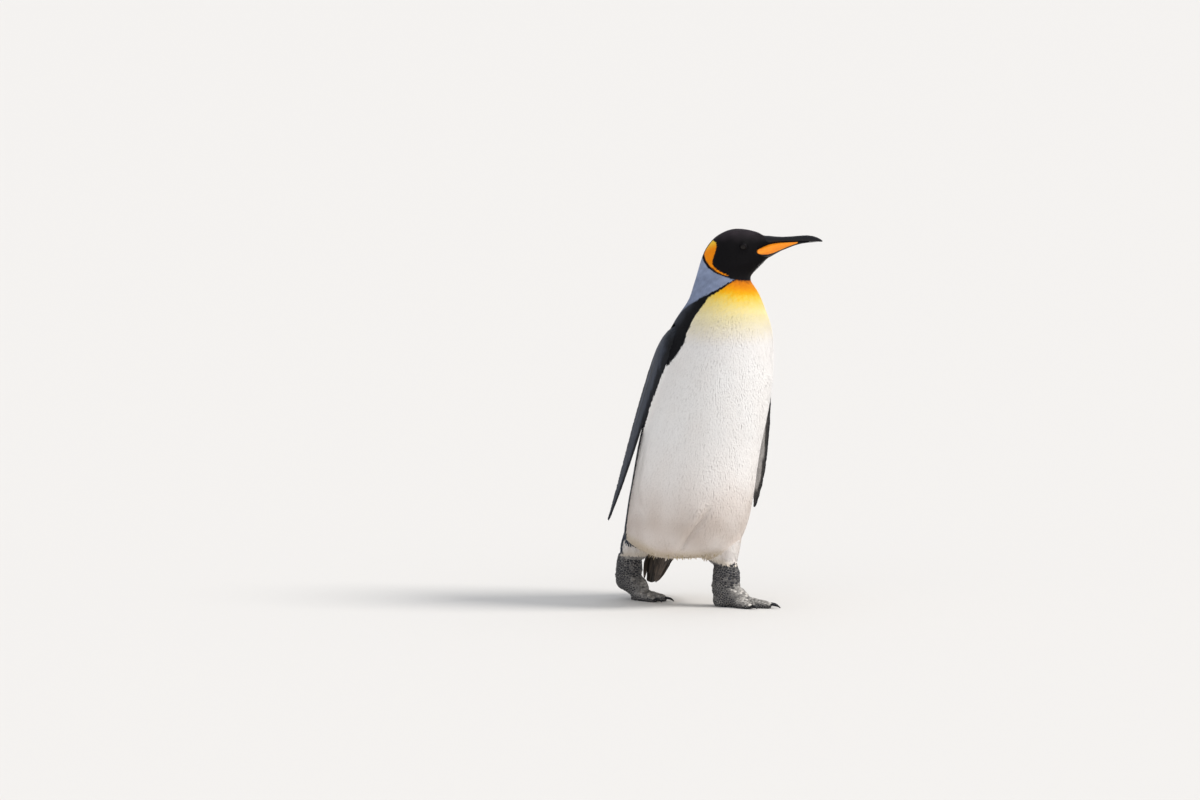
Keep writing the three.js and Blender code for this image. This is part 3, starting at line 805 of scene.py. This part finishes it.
def scatter(chosen, spacing_of, stretch=np.ones(3)):
    """Points spread over the chosen faces of the skin, with their normals and faces. No two are nearer than
    the spacing there, measured after stretch has scaled each axis."""
    faces = np.flatnonzero(chosen)
    area = np.linalg.norm(skin.face_cross[faces], axis=1) / 2
    spacing = spacing_of(skin.middles[faces])
    count = random.poisson(TRIES * area / spacing**2)
    face = np.repeat(faces, count)
    gap = np.repeat(spacing, count)
    u, v = random.random((2, len(face)))
    beyond = u + v > 1
    u[beyond], v[beyond] = 1 - u[beyond], 1 - v[beyond]
    a, b, c = (skin.points[skin.faces[face, k]] for k in range(3))
    points = a + (b - a) * u[:, None] + (c - a) * v[:, None]
    order = random.permutation(len(points))
    points, face, gap = points[order], face[order], gap[order]
    counted = points * stretch
    tree = point_tree(counted)
    free = np.ones(len(points), bool)
    kept = []
    for i, p in enumerate(counted.tolist()):
        if free[i]:
            kept.append(i)
            for _, j, _ in tree.find_range(p, gap[i]):
                free[j] = False
    kept = np.array(kept)
    face = face[kept]
    return points[kept], unit(skin.normals[skin.faces[face]].mean(1)), face


SWIRL, STRAY = 0.10, 0.07  # radians that feathers turn from their flow, neighbours together and each alone
HANG_OUT, HANG_STRAY = 0.30, 0.16  # how much hanging tufts stand out from the skin and stray from their fall
HANG_RAISED = 0.8 * MM


def picked(laid, rows):
    """Some of the feathers that cover() has laid."""
    return {name: column[rows] for name, column in laid.items()}


def turned(direction, normal, angle):
    """The direction turned about the normal."""
    side = np.cross(normal, direction)
    return direction * np.cos(angle)[:, None] + side * np.sin(angle)[:, None]


def cover(chosen, spacing_of, length_of, flow_of):
    """Lays feathers over the chosen faces of the skin: where each starts and ends, and what lies there."""
    root, root_normal, face = scatter(chosen, spacing_of)
    count = len(root)
    length = length_of(root) * random.uniform(0.88, 1.12, count)
    swirl = SWIRL * ripple(root, 0.06, 21) + random.normal(0, STRAY, count)
    heading = turned(flow_of(root, root_normal), root_normal, swirl)
    tip, tip_normal, tip_face = skin.nearest(root + heading * length[:, None])
    laid = {"root": root, "tip": tip, "root_normal": root_normal, "tip_normal": tip_normal}
    laid |= {"length": length, "depth": skin.depth[skin.faces[tip_face]].mean(1)}
    return laid | {"owner": skin.owner[face], "tip_owner": skin.owner[tip_face]}


def hung(chosen, spacing_of, length_of, fall):
    """Lays tufts that hang free from the chosen faces instead of lying along them."""
    root, normal, face = scatter(chosen, spacing_of)
    length = length_of(root) * random.uniform(0.6, 1.25, len(root))
    heading = unit(unit(fall + HANG_OUT * normal) + random.normal(0, HANG_STRAY, (len(root), 3)))
    outward = unit(normal * [1, 1, 0.2])
    tip = root + heading * length[:, None]
    laid = {"root": root, "tip": tip, "root_normal": normal, "tip_normal": outward}
    return laid | {"length": length, "depth": np.full(len(root), HANG_RAISED), "owner": skin.owner[face]}


def vane_layout(rows):
    """How a vane with these rows is put together, with three corners in each row and one at the tip: each
    corner's share of the length and its place on the vane's patch of the bake map, and the faces."""
    shares = [share for share, _ in rows for _ in range(3)] + [1.0]
    patch = [(k / 2 - 0.5, share) for share, _ in rows for k in range(3)] + [(0, 1)]
    faces = []
    for row in range(len(rows) - 1):
        for k in (0, 1):
            a, b = 3 * row + k, 3 * row + k + 1
            faces += [(a, a + 3, b + 3), (a, b + 3, b)]
    end = 3 * len(rows)
    faces += [(end - 3, end, end - 2), (end - 2, end, end - 1)]
    return np.array(shares), patch, np.array(faces)


def vane_mesh(rows, laid, width, camber, lift):
    """The corners and normals of many vanes at once. Each rises from its root in the skin and lies along the
    coat's outer surface over the roots of the next, with its edges a little lower than its middle."""
    ahead = laid["tip"] - laid["root"]
    corners, normals = [], []
    for share, wide in [*rows, (1.0, 0.0)]:
        normal = unit(laid["root_normal"] * (1 - share) + laid["tip_normal"] * share)
        side = unit(np.cross(normal, ahead))
        rise = laid["depth"] * (0.7 * (1 - (1 - share) ** 2) + 0.3 * share) + lift * share**2
        middle = laid["root"] + ahead * share + normal * rise[:, None]
        if wide:
            half = side * (width * wide / 2)[:, None]
            drop = normal * (camber * width * wide)[:, None]
            corners += [middle - half - drop, middle, middle + half - drop]
            normals += [unit(normal - side * EDGE_TILT), normal, unit(normal + side * EDGE_TILT)]
        else:
            corners.append(middle)
            normals.append(normal)
    return np.stack(corners, 1), np.stack(normals, 1)


def coat_piece(name, shapes, colours, patch, places, made):
    """One object of many small shapes that are all built alike. shapes holds each one's corners and normals,
    and the faces of one. colours has a colour for each corner. patch gives the corners' places on a shape's
    own patch of the bake map, and places gives each shape's place on the unwrapped skin, from 0 to 1."""
    corners, normals, faces = shapes
    faces = (faces[None] + (np.arange(len(corners)) * corners.shape[1])[:, None, None]).reshape(-1, 3)
    thing = mesh_object(name, corners.reshape(-1, 3), faces)
    own = np.zeros(corners.size, np.float32)
    thing.data.vertices.foreach_get("normal", own)
    soft = unit(mix(own.reshape(-1, 3), normals.reshape(-1, 3), SOFTNESS))
    thing.data.normals_split_custom_set_from_vertices(soft.tolist())
    paint(thing, colours.reshape(-1, 3))
    layer = thing.data.uv_layers.new(name=BAKE_MAP)
    flat = (places[:, None] + (np.array(patch) * BAKE_PATCH)[None]).reshape(-1, 2)
    layer.uv.foreach_set("vector", flat[faces.ravel()].astype(np.float32).ravel())
    finish_piece(thing, made)


def vanes(name, rows, laid, width, colours, places, made=PLUMAGE, shade=(0.90, 1.02), camber=0.025, lift=0.0):
    """A piece of feathers, each shaded from its root to its tip."""
    shares, patch, faces = vane_layout(rows)
    shapes = *vane_mesh(rows, laid, width, camber, lift), faces
    shades = shade[0] + (shade[1] - shade[0]) * shares
    coat_piece(name, shapes, colours[:, None] * shades[:, None], patch, places, made)


def coat_colours(laid, spread):
    """The markings at the feathers' tips, where they show, each feather a little lighter or darker."""
    on_top = laid["tip"] + laid["tip_normal"] * laid["depth"][:, None]
    found = coat_colour(on_top, laid["tip_normal"], laid["owner"])
    return found * random.uniform(1 - spread, 1 + spread, len(on_top))[:, None]


# Lengths of feathers, in mm, by height on the body and by the share of the way down a flipper.
BODY_FEATHERS = [(0.60, 18), (0.70, 12), (0.745, 7.5), (0.785, 5.2)]
FLIPPER_FEATHERS = [(0.05, 13), (0.3, 7), (0.92, 5), (0.98, 9.5)]
FLIPPER_SPACING = [(0.1, 2.8), (0.3, 2.1)]
# On the face, feathers grow shorter above these heights, this far forward, and this near to an eye.
FACE_HEIGHTS = (0.735, 0.770)
FACE_FORWARD = (0.050, 0.090)
EYE_NEAR = (0.022, 0.010)
HEAD_HEIGHTS = (0.735, 0.785)  # feathers turn from the body's flow to the head's between these


def feather_length(points):
    """Feathers are long on the trunk and short on the head, and shortest by the bill and the eyes."""
    z = points[:, 2]
    length = along(BODY_FEATHERS, z) * MM
    _, forward = in_head(points)
    face = smoothstep(*FACE_HEIGHTS, z)
    bill = 1 - 0.38 * face * smoothstep(*FACE_FORWARD, forward)
    from_eye = np.min([np.linalg.norm(points - eyes[s], axis=1) for s in SIDES], axis=0)
    return length * bill * (1 - 0.4 * smoothstep(*EYE_NEAR, from_eye))


def plume_width(laid):
    """Long feathers are wider the longer they are."""
    return 1.0 * MM + 0.20 * laid["length"]


def body_flow(points, normals):
    """Feathers point down the body. On the head they run back from the bill before they turn down."""
    down = np.array([-LEAN[0], -LEAN[1], -1.0])
    on_head = smoothstep(*HEAD_HEIGHTS, points[:, 2])
    back = -HEAD_FORWARD * (1.9 * on_head)[:, None]
    return across(back + unit(down) * (1 - 0.55 * on_head)[:, None], normals)


HEAD_COAT_HEIGHT = 0.757  # the head's own piece of coat starts here
BILL_FEATHERS = 0.121  # feathers run on over the bill's root, as far forward as this
OFF_THE_PLATES = 1.6 * MM  # feathers end this far from the bill's plates
ROUND = 6.3  # a little over a full turn in radians, so that angles divided by it stay on the map


def cover_body():
    """The trunk, neck and head. They are split into pieces by the quarter of the body and the head."""
    _, forward = in_head(skin.middles)
    bill_root = faces_of("bill_upper", "bill_lower") & (forward < BILL_FEATHERS)
    laid = cover(
        faces_of("trunk", "neck", "head") | bill_root,
        lambda points: 0.7 * MM + 0.083 * feather_length(points),
        feather_length,
        body_flow,
    )
    flipper_faces = [skin.nodes.index(node) for node in both("flipper")]
    laid = picked(laid, ~np.isin(laid["tip_owner"], flipper_faces))
    plates = [tree_of(*solid_of(node)) for node in both("bill_plate")]
    ends = [laid[end].tolist() for end in ("tip", "root")]
    gaps = [[plate.find_nearest(p)[3] for p in end] for plate in plates for end in ends]
    laid = picked(laid, np.min(gaps, axis=0) > OFF_THE_PLATES)
    root = laid["root"]
    colours = coat_colours(laid, spread=0.015)
    width = plume_width(laid)
    lift = random.uniform(-0.3, 0.5, len(root)) ** 3 * 0.05 * laid["length"]

    def piece(name, mine, places):
        vanes(name, LONG_VANE, picked(laid, mine), width[mine], colours[mine], places[mine], lift=lift[mine])

    _, _, angle = on_body(root)
    on_head = root[:, 2] > HEAD_COAT_HEIGHT
    around = (angle + 180) / 90
    quarter = np.floor(around).clip(0, 3).astype(int)
    up = root[:, 2] / (HEAD_COAT_HEIGHT + 0.02)
    for q, name in enumerate(["back_right", "front_right", "front_left", "back_left"]):
        piece(f"coat_{name}", (quarter == q) & ~on_head, np.stack([0.01 + 0.97 * (around - q), up], -1))
    spoke = unit(root - HEAD_AXIS - HEAD_FORWARD * 0.04)
    around = np.arctan2(spoke @ HEAD_LEFT, spoke @ HEAD_FORWARD) / ROUND + 0.5
    piece("coat_head", on_head, np.stack([around, spoke[:, 2] * 0.49 + 0.5], -1))


def cover_flippers():
    """Tiny scale-like feathers that run to the tip, on a flipper's outer and inner side."""
    for side in SIDES:
        flipper = flippers[side]
        chosen = faces_of(f"flipper_{side}")
        outer = skin.face_cross[:, 0] * flipper.out > 0
        parts = []
        for island, faces in enumerate([chosen & outer, chosen & ~outer]):
            laid = cover(
                faces,
                lambda points: along(FLIPPER_SPACING, flipper.place(points)[0]) * MM,
                lambda points: along(FLIPPER_FEATHERS, flipper.place(points)[0]) * MM,
                lambda points, normals: across(flipper.flow(points), normals),
            )
            down, share, _ = (place.clip(0, 1) for place in flipper.place(laid["root"]))
            laid["place"] = np.stack([0.01 + 0.47 * share + 0.5 * island, 0.01 + 0.97 * down], -1)
            parts.append(laid)
        laid = {name: np.concatenate([part[name] for part in parts]) for name in parts[0]}
        colours = coat_colours(laid, spread=0.09)
        width = 0.8 * MM + 0.42 * laid["length"]
        name = f"coat_flipper_{side}"
        vanes(name, SHORT_VANE, laid, width, colours, laid["place"], FLIPPER_SCALES, camber=0.08)


def round_a_leg(points):
    """Each point's place on a leg's unwrapped skin."""
    middle = points.mean(0)
    around = np.arctan2(points[:, 0] - middle[0], points[:, 1] - middle[1]) / ROUND + 0.5
    return np.stack([around, points[:, 2] / 0.3], -1)


LEG_SPACING = 2.1 * MM
LEG_FEATHERS = [(0, 8), (0.02, 14)]  # their length in mm by height over the ankle
LEG_COAT = 1.5 * MM  # the coat over a leg is at least this deep


def cover_legs():
    """The thighs' plumage, down to the ankles."""
    for side in SIDES:
        laid = cover(
            faces_of(f"leg_{side}") & (skin.middles[:, 2] > ankle_height(side, skin.middles)),
            lambda points: np.full(len(points), LEG_SPACING),
            lambda points: along(LEG_FEATHERS, points[:, 2] - ankle_height(side, points)) * MM,
            lambda points, normals: across(np.array([[0, -0.12, -1.0]]), normals),
        )
        laid["depth"] = np.maximum(laid["depth"], LEG_COAT)
        colours = coat_colours(laid, spread=0.04)
        vanes(f"coat_leg_{side}", LONG_VANE, laid, plume_width(laid), colours, round_a_leg(laid["root"]))


HEM_HEIGHT = 0.128  # tufts hang from below this height, and from higher up where the belly rises
HEM_FACING = (0.35, 0.96)  # they hang where the belly faces down by a share between these
HEM_SPACING = 2.7 * MM
HEM_LENGTH, HEM_RAGGED = 10, 3.5  # in mm
HEM_WIDTH = 0.15  # a tuft's width as a share of its length


def cover_hem():
    """Ragged tufts along the lower edge of the belly."""
    z = skin.middles[:, 2]
    facing_down = -unit(skin.face_cross)[:, 2]
    low = z < HEM_HEIGHT + belly_rise(skin.middles)
    edge = (facing_down > HEM_FACING[0]) & (facing_down < HEM_FACING[1])
    laid = hung(
        faces_of("trunk") & low & edge,
        lambda points: np.full(len(points), HEM_SPACING),
        lambda points: (HEM_LENGTH + HEM_RAGGED * ripple(points, 0.006, 15)) * MM,
        np.array([0, -0.1, -1.0]),
    )
    _, _, angle = on_body(laid["root"])
    tan = mix(CREAM, FRINGE, random.uniform(0.1, 0.9, len(angle)))
    tan = tan * random.uniform(0.8, 1.05, len(angle))[:, None]
    edge_angle = along(FRONT_EDGE, laid["root"][:, 2])
    colours = mix(tan, SLATE, smoothstep(-4, 4, np.abs(angle) - edge_angle))
    places = np.stack([angle / 370 + 0.5, laid["root"][:, 2] * 5], -1)
    vanes("coat_hem", LONG_VANE, laid, HEM_WIDTH * laid["length"], colours, places, shade=(0.8, 1.05))


# ---- Scales of the feet ----
SCALE_CORNERS = 9
SCALE_TURNS = 2 * math.pi * (np.arange(SCALE_CORNERS) + 0.5) / SCALE_CORNERS
SCALE_BROAD = np.array([0.52, 1, 1])  # distances along X count for less, so scales are broad across the feet
SCALE_SPACING = [(0.02, 3.4), (0.05, 3.8)]  # in mm, by height
SCALE_RISE = [(0.02, 0.6), (0.05, 1.0)]  # a scale's thickness, in mm by height
SCALE_MOST = 5.5 * MM  # the furthest that a scale reaches from its middle
SCALE_NEIGHBOURS = 12
CREASE_HALF = 0.22 * MM  # half the gap between two scales
SCALE_SLOPE = 0.55 * MM  # the width of a scale's sloping side
SCALE_FACING = -0.75  # the soles, which face down by more than this, have none
TOE_HEIGHTS = (0.062, 0.038)  # the shank turns into the toes between these heights
TOE_DUST = {"left": 0.85, "right": 0.55}  # how pale the toes are on top


def cell_reach(root, spokes):
    """How far a scale reaches along each spoke before it meets a neighbour's."""
    places = root * SCALE_BROAD
    tree = point_tree(places)
    near = np.array([[j for _, j, _ in tree.find_n(p, SCALE_NEIGHBOURS + 1)][1:] for p in places.tolist()])
    away = places[near] - places[:, None]
    facing = np.einsum("nkd,njd->nkj", spokes * SCALE_BROAD, away)
    reach = (away**2).sum(-1)[:, None] / np.maximum(2 * facing, 1e-9)
    return reach.min(2).clip(0, SCALE_MOST)


def scale_shapes(root, normal, ahead):
    """Each scale has a rim in its creases, a shoulder a little way in, and a low point in the middle."""
    beside = np.cross(normal, ahead)
    spokes = ahead[:, None] * np.cos(SCALE_TURNS)[:, None] + beside[:, None] * np.sin(SCALE_TURNS)[:, None]
    reach = cell_reach(root, spokes)
    rise = along(SCALE_RISE, root[:, 2]) * MM * random.uniform(0.6, 1.4, len(root))
    up = (normal * rise[:, None])[:, None]
    root = root[:, None]
    rim = root + spokes * (reach - CREASE_HALF).clip(0.3 * MM)[..., None] - normal[:, None] * 0.25 * MM
    shoulder = root + spokes * (reach - CREASE_HALF - SCALE_SLOPE).clip(0.2 * MM)[..., None] + up
    corners = np.concatenate([rim, shoulder, root + 1.2 * up], 1)
    leaning_out = unit(corners - root) * 0.6
    leaning_out[:, -1] = 0
    faces = []
    for a in range(SCALE_CORNERS):
        b = (a + 1) % SCALE_CORNERS
        c, d = a + SCALE_CORNERS, b + SCALE_CORNERS
        faces += [(a, b, d), (a, d, c), (c, d, 2 * SCALE_CORNERS)]
    return corners, unit(normal[:, None] + leaning_out), np.array(faces)


def scale_colours(side, root, normal, on_toe):
    """Dark scales that are pale with dust on the toes and in the wrinkles, and paler at their rims."""
    wrinkled = smoothstep(0.15, 0.6, ripple(root * [1, 1, 3.2], 0.016, 32)) * (1 - on_toe)
    dust = 0.01 + TOE_DUST[side] * smoothstep(-0.1, 0.6, normal[:, 2]) * on_toe + 0.16 * wrinkled
    dust = dust * (1 + 0.5 * ripple(root, 0.012, 31))
    top = mix(FOOT * 0.34, DUST, dust.clip(0, 1)) * random.uniform(0.55, 1.45, len(root))[:, None]
    rim = mix(top, DUST * 0.7, 0.25 + 0.35 * on_toe)
    return np.stack([rim] * SCALE_CORNERS + [top] * (SCALE_CORNERS + 1), 1)


def cover_feet():
    """Horny scales that meet at narrow creases, on the feet and on the bare end of each leg."""
    ring = np.stack([np.cos(SCALE_TURNS), np.sin(SCALE_TURNS)], -1) / 2
    patch = [*ring, *(ring * 0.7), (0, 0)]
    for side in SIDES:
        foot = faces_of(f"foot_{side}")
        shin = faces_of(f"leg_{side}") & (skin.middles[:, 2] < ankle_height(side, skin.middles) + 0.006)
        shank = skin.points[skin.faces[shin]].reshape(-1, 3).mean(0)
        root, normal, _ = scatter(
            (foot | shin) & (unit(skin.face_cross)[:, 2] > SCALE_FACING),
            lambda points: along(SCALE_SPACING, points[:, 2]) * MM,
            SCALE_BROAD,
        )
        outward = unit((root - shank) * [1, 1, 0])
        on_toe = smoothstep(*TOE_HEIGHTS, root[:, 2])
        ahead = across(outward * on_toe[:, None] + np.array([0, 0, -1]) * (1 - on_toe)[:, None], normal)
        shapes = scale_shapes(root, normal, ahead)
        colours = scale_colours(side, root, normal, on_toe)
        places = root[:, :2] * 4 % 0.97 + 0.01
        coat_piece(f"scales_{side}", shapes, colours, patch, places, HORNY)


# ---- Tail ----
QUILLS_ROUND = 15  # quills in one layer
QUILL_SPREAD = 3.0  # how far a quill's tip stands out, in mm
QUILL_WIDTHS = (4.6, 6.0)  # in mm
QUILL_CAMBER = 0.22
SHAFT = (0.80, 1.9, 0.80)  # a quill's shaft is paler than its vane
TAIL_ROOT, TAIL_TIP = 0.012, 0.004  # the heights of the slices whose middles begin and end the tail's axis
TAIL_HALF = 0.12  # the solid lies within this far of its axis
# Where each layer of quills starts and ends, as shares of the tail's length. Later layers lie deeper.
QUILL_LAYERS = [(-0.10, 0.52), (0.02, 0.70), (0.15, 0.86), (0.26, 1.0)]


class Tail:
    """The tail's solid, its axis from root to tip, and the directions across it."""

    def __init__(self):
        corners, triangles = solid_of("tail")
        self.solid = tree_of(corners, triangles)
        low, high = corners[:, 2].min(), corners[:, 2].max()
        self.start = corners[corners[:, 2] > high - TAIL_ROOT].mean(0)
        end = corners[corners[:, 2] < low + TAIL_TIP].mean(0)
        self.reach = np.linalg.norm(end - self.start)
        self.axis = (end - self.start) / self.reach
        self.sideways = unit(np.cross(self.axis, [0, 1.0, 0]))
        self.upper = np.cross(self.sideways, self.axis)

    def quill(self, begin, stop, turn, layer, wide):
        """The corners and normals of one quill. It is short of some where it misses the solid."""
        spoke = self.sideways * math.cos(turn) + self.upper * math.sin(turn)
        corners, normals = [], []
        for share, width in [*QUILL_VANE, (1.0, 0.0)]:
            at = self.start + self.axis * self.reach * min(begin + (stop - begin) * share, 0.985)
            place, normal, _, _ = self.solid.ray_cast(at + spoke * TAIL_HALF, -spoke)
            if place is None:
                break
            normal = unit(np.array(normal))
            half = unit(np.cross(normal, self.axis)) * wide * width
            out = spoke * QUILL_SPREAD * share**2 - normal * (0.25 + 0.35 * layer)
            middle = np.array(place) + out * MM
            drop = normal * QUILL_CAMBER * wide * width
            row = [middle - half - drop, middle, middle + half - drop] if width else [middle]
            corners += row
            normals += [normal] * len(row)
        return corners, normals


def lay_quills():
    """The tail's stiff, narrow feathers, in layers from under the trunk to the tip."""
    tail = Tail()
    shares, patch, faces = vane_layout(QUILL_VANE)
    corners, normals, colours, places = [], [], [], []
    for layer, (begin, finish) in enumerate(QUILL_LAYERS):
        for k in range(QUILLS_ROUND):
            turn = 2 * math.pi * (k + layer / 2 + random.uniform(-0.2, 0.2)) / QUILLS_ROUND
            stop = finish - random.uniform(0, 0.10)
            wide = random.uniform(*QUILL_WIDTHS) * MM
            blade, blade_normals = tail.quill(begin, stop, turn, layer, wide)
            if len(blade) == len(shares):
                corners.append(blade)
                normals.append(blade_normals)
                colours.append(mix(QUILL_DARK, QUILL_PALE, random.uniform(0, 0.7)))
                places.append([0.02 + 0.95 * (turn % (2 * math.pi)) / ROUND, 0.02 + 0.9 * max(begin, 0)])
    shades = (0.8 + 0.5 * shares**3) * np.array([*SHAFT * len(QUILL_VANE), 1.0])
    colours = np.array(colours)[:, None] * shades[:, None]
    shapes = np.array(corners), np.array(normals), faces
    coat_piece("quills", shapes, colours, patch, np.array(places), QUILL)


# ---- Bill, eyes, lids and claws ----
def smooth_copy(name, node, voxel, passes, made):
    """A piece that is a finer, smoother copy of a hard CAD node."""
    form = Surface(*remeshed([node], voxel * MM))
    form.relax(passes, 0.5)
    let_out(form, tree_of(*solid_of(node)), passes // 3)
    thing = mesh_object(name, form.points, form.faces)
    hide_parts(node)
    finish_piece(thing, made)


def noisy_colour(name, roughness, size, depth, dark, light, **sockets):
    """A material whose colour goes from one to the other with its grain."""
    made, tree, shader = material(name, roughness, **sockets)
    noise = grain(tree, shader, size, 0.35, depth)
    ramp = tree.nodes.new("ShaderNodeValToRGB")
    ramp.color_ramp.elements[0].color = (*colour(dark), 1)
    ramp.color_ramp.elements[1].color = (*colour(light), 1)
    tree.links.new(noise.outputs["Fac"], ramp.inputs["Fac"])
    tree.links.new(ramp.outputs["Color"], shader.inputs["Base Color"])
    return made


COATED = {"Coat_Weight": 0.08}
HORN = noisy_colour("horn", 0.34, 4 * MM, 0.4 * MM, "08080c", "17171c", Specular_IOR_Level=0.25, **COATED)
PLATE = noisy_colour("bill_plate", 0.36, 6 * MM, 0.2 * MM, "f87f06", "ffa42a", Specular_IOR_Level=0.35)
EYE = noisy_colour("eye", 0.10, 2 * MM, 0.03 * MM, "080504", "150c08", Specular_IOR_Level=0.25)
LID = noisy_colour("lid", 0.6, 1.2 * MM, 0.2 * MM, "060508", "0c0a0d", Specular_IOR_Level=0.1)

# A lid's rings from the opening out: the share of the way from the opening's edge to the lid's, and the
# height over the eyeball in mm.
LID_RINGS = [(-0.08, -0.5), (0.0, 0.25), (0.10, 0.5), (0.22, 0.4)]
LID_RINGS += [(0.36, 0.1), (0.44, 0.25), (0.7, 0.0), (1.0, -0.6)]
LID_STEPS = 44
EYE_OPENING = (6.5 * MM, 5.2 * MM)  # half its length and half its height


def make_lid(side):
    """A lid: a ring of bare skin with a rolled rim, round a long opening."""
    low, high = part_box(f"eye_{side}")
    radius = float(max(high - low)) / 2
    outward = HEAD_LEFT * OUT[side]
    turn = np.linspace(0, 2 * math.pi, LID_STEPS, endpoint=False)
    cos, sin = np.cos(turn), np.sin(turn)
    opening = np.stack([EYE_OPENING[0] * cos, EYE_OPENING[1] * sin * np.abs(sin) ** 0.15], -1)
    outer = np.stack([cos, sin], -1) * radius * 1.02
    upward = np.array([0, 0, 1.0])
    rings = []
    for share, height in LID_RINGS:
        flat = opening + (outer - opening) * share
        shell = radius + height * MM
        rise = np.sqrt(np.maximum(shell**2 - (flat**2).sum(1), (0.1 * radius) ** 2))
        rings.append(eyes[side] + flat[:, :1] * HEAD_FORWARD + flat[:, 1:] * upward + rise[:, None] * outward)
    points = np.concatenate(rings)
    faces = []
    for r in range(len(rings) - 1):
        for k in range(LID_STEPS):
            a, b = r * LID_STEPS + k, r * LID_STEPS + (k + 1) % LID_STEPS
            faces += [(a, b, b + LID_STEPS), (a, b + LID_STEPS, a + LID_STEPS)]
    faces = np.array(faces)
    if side == "left":
        faces = faces[:, ::-1]
    finish_piece(mesh_object(f"lid_{side}", points, faces), LID)


def make_hard_parts():
    """Each is given the size of its mesh in mm and the passes that smooth it."""
    for half in ("upper", "lower"):
        smooth_copy(f"horn_bill_{half}", f"bill_{half}", 0.9, 24, HORN)
    for side in SIDES:
        smooth_copy(f"plate_{side}", f"bill_plate_{side}", 0.7, 14, PLATE)
        smooth_copy(f"eyeball_{side}", f"eye_{side}", 0.8, 12, EYE)
        make_lid(side)
        for toe in ("inner", "middle", "outer"):
            smooth_copy(f"nail_{side}_{toe}", f"claw_{side}_{toe}", 0.5, 8, HORN)


# ---- The skin's own piece ----
def make_skin():
    thing = mesh_object("skin", skin.points, skin.faces)
    corner_owner = np.zeros(len(skin.points), int)
    corner_owner[skin.faces.ravel()] = np.repeat(skin.owner, 3)
    outer = skin.points + skin.normals * skin.depth[:, None]
    paint(thing, coat_colour(outer, skin.normals, corner_owner))
    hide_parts(*FLESH)
    finish_piece(thing, PLUMAGE)


make_skin()
make_hard_parts()
cover_body()
cover_flippers()
cover_legs()
cover_hem()
cover_feet()
lay_quills()

# ---- Stage ----
AIM = Vector((-0.1904, 0.1381, 0.4572))  # what the camera looks at: the bird is right of the picture's middle
CAMERA_AZIMUTH, CAMERA_ELEVATION = math.radians(-30.1), math.radians(5.55)
CAMERA_DISTANCE = 15.05


def heading(azimuth, elevation):
    """From the model towards a place round it: azimuth 0 is in front of it and 90 on its left."""
    level = math.cos(elevation)
    return Vector((math.sin(azimuth) * level, -math.cos(azimuth) * level, math.sin(elevation)))


camera = bpy.data.objects.new("camera", bpy.data.cameras.new("camera"))
camera.data.lens = 200
camera.data.sensor_width = 36
camera.data.clip_end = 200
back = heading(CAMERA_AZIMUTH, CAMERA_ELEVATION)
camera.location = AIM + back * CAMERA_DISTANCE
camera.rotation_euler = (-back).to_track_quat("-Z", "Y").to_euler()
bpy.context.scene.collection.objects.link(camera)
bpy.context.scene.camera = camera

FLOOR_HALF = 90
floor_edges = (-FLOOR_HALF, FLOOR_HALF)
floor_corners = np.array([(x, y, 0) for x in floor_edges for y in floor_edges], float)
floor = mesh_object("floor", floor_corners, np.array([(0, 2, 3), (0, 3, 1)]), smooth=False)
floor.data.materials.append(material("floor", 0.9, Base_Color=(*colour("dcd9d5"), 1))[0])


def sun(name, azimuth, elevation, spread, strength, tint):
    """A far, wide lamp: it lights bird and floor evenly, and spread makes its shadows soft."""
    light = bpy.data.lights.new(name, "SUN")
    light.angle = math.radians(spread)
    light.energy = strength
    light.color = tint
    thing = bpy.data.objects.new(name, light)
    toward = heading(math.radians(azimuth), math.radians(elevation))
    thing.rotation_euler = (-toward).to_track_quat("-Z", "Y").to_euler()
    bpy.context.scene.collection.objects.link(thing)


sun("key", azimuth=50, elevation=43, spread=22, strength=2.6, tint=(1.0, 0.975, 0.945))

world = bpy.data.worlds.new("studio")
world.use_nodes = True
with_values(world.node_tree.nodes["Background"], Color=(0.92, 0.95, 1.0, 1), Strength=0.77)
bpy.context.scene.world = world
bpy.context.scene.view_settings.view_transform = "Standard"
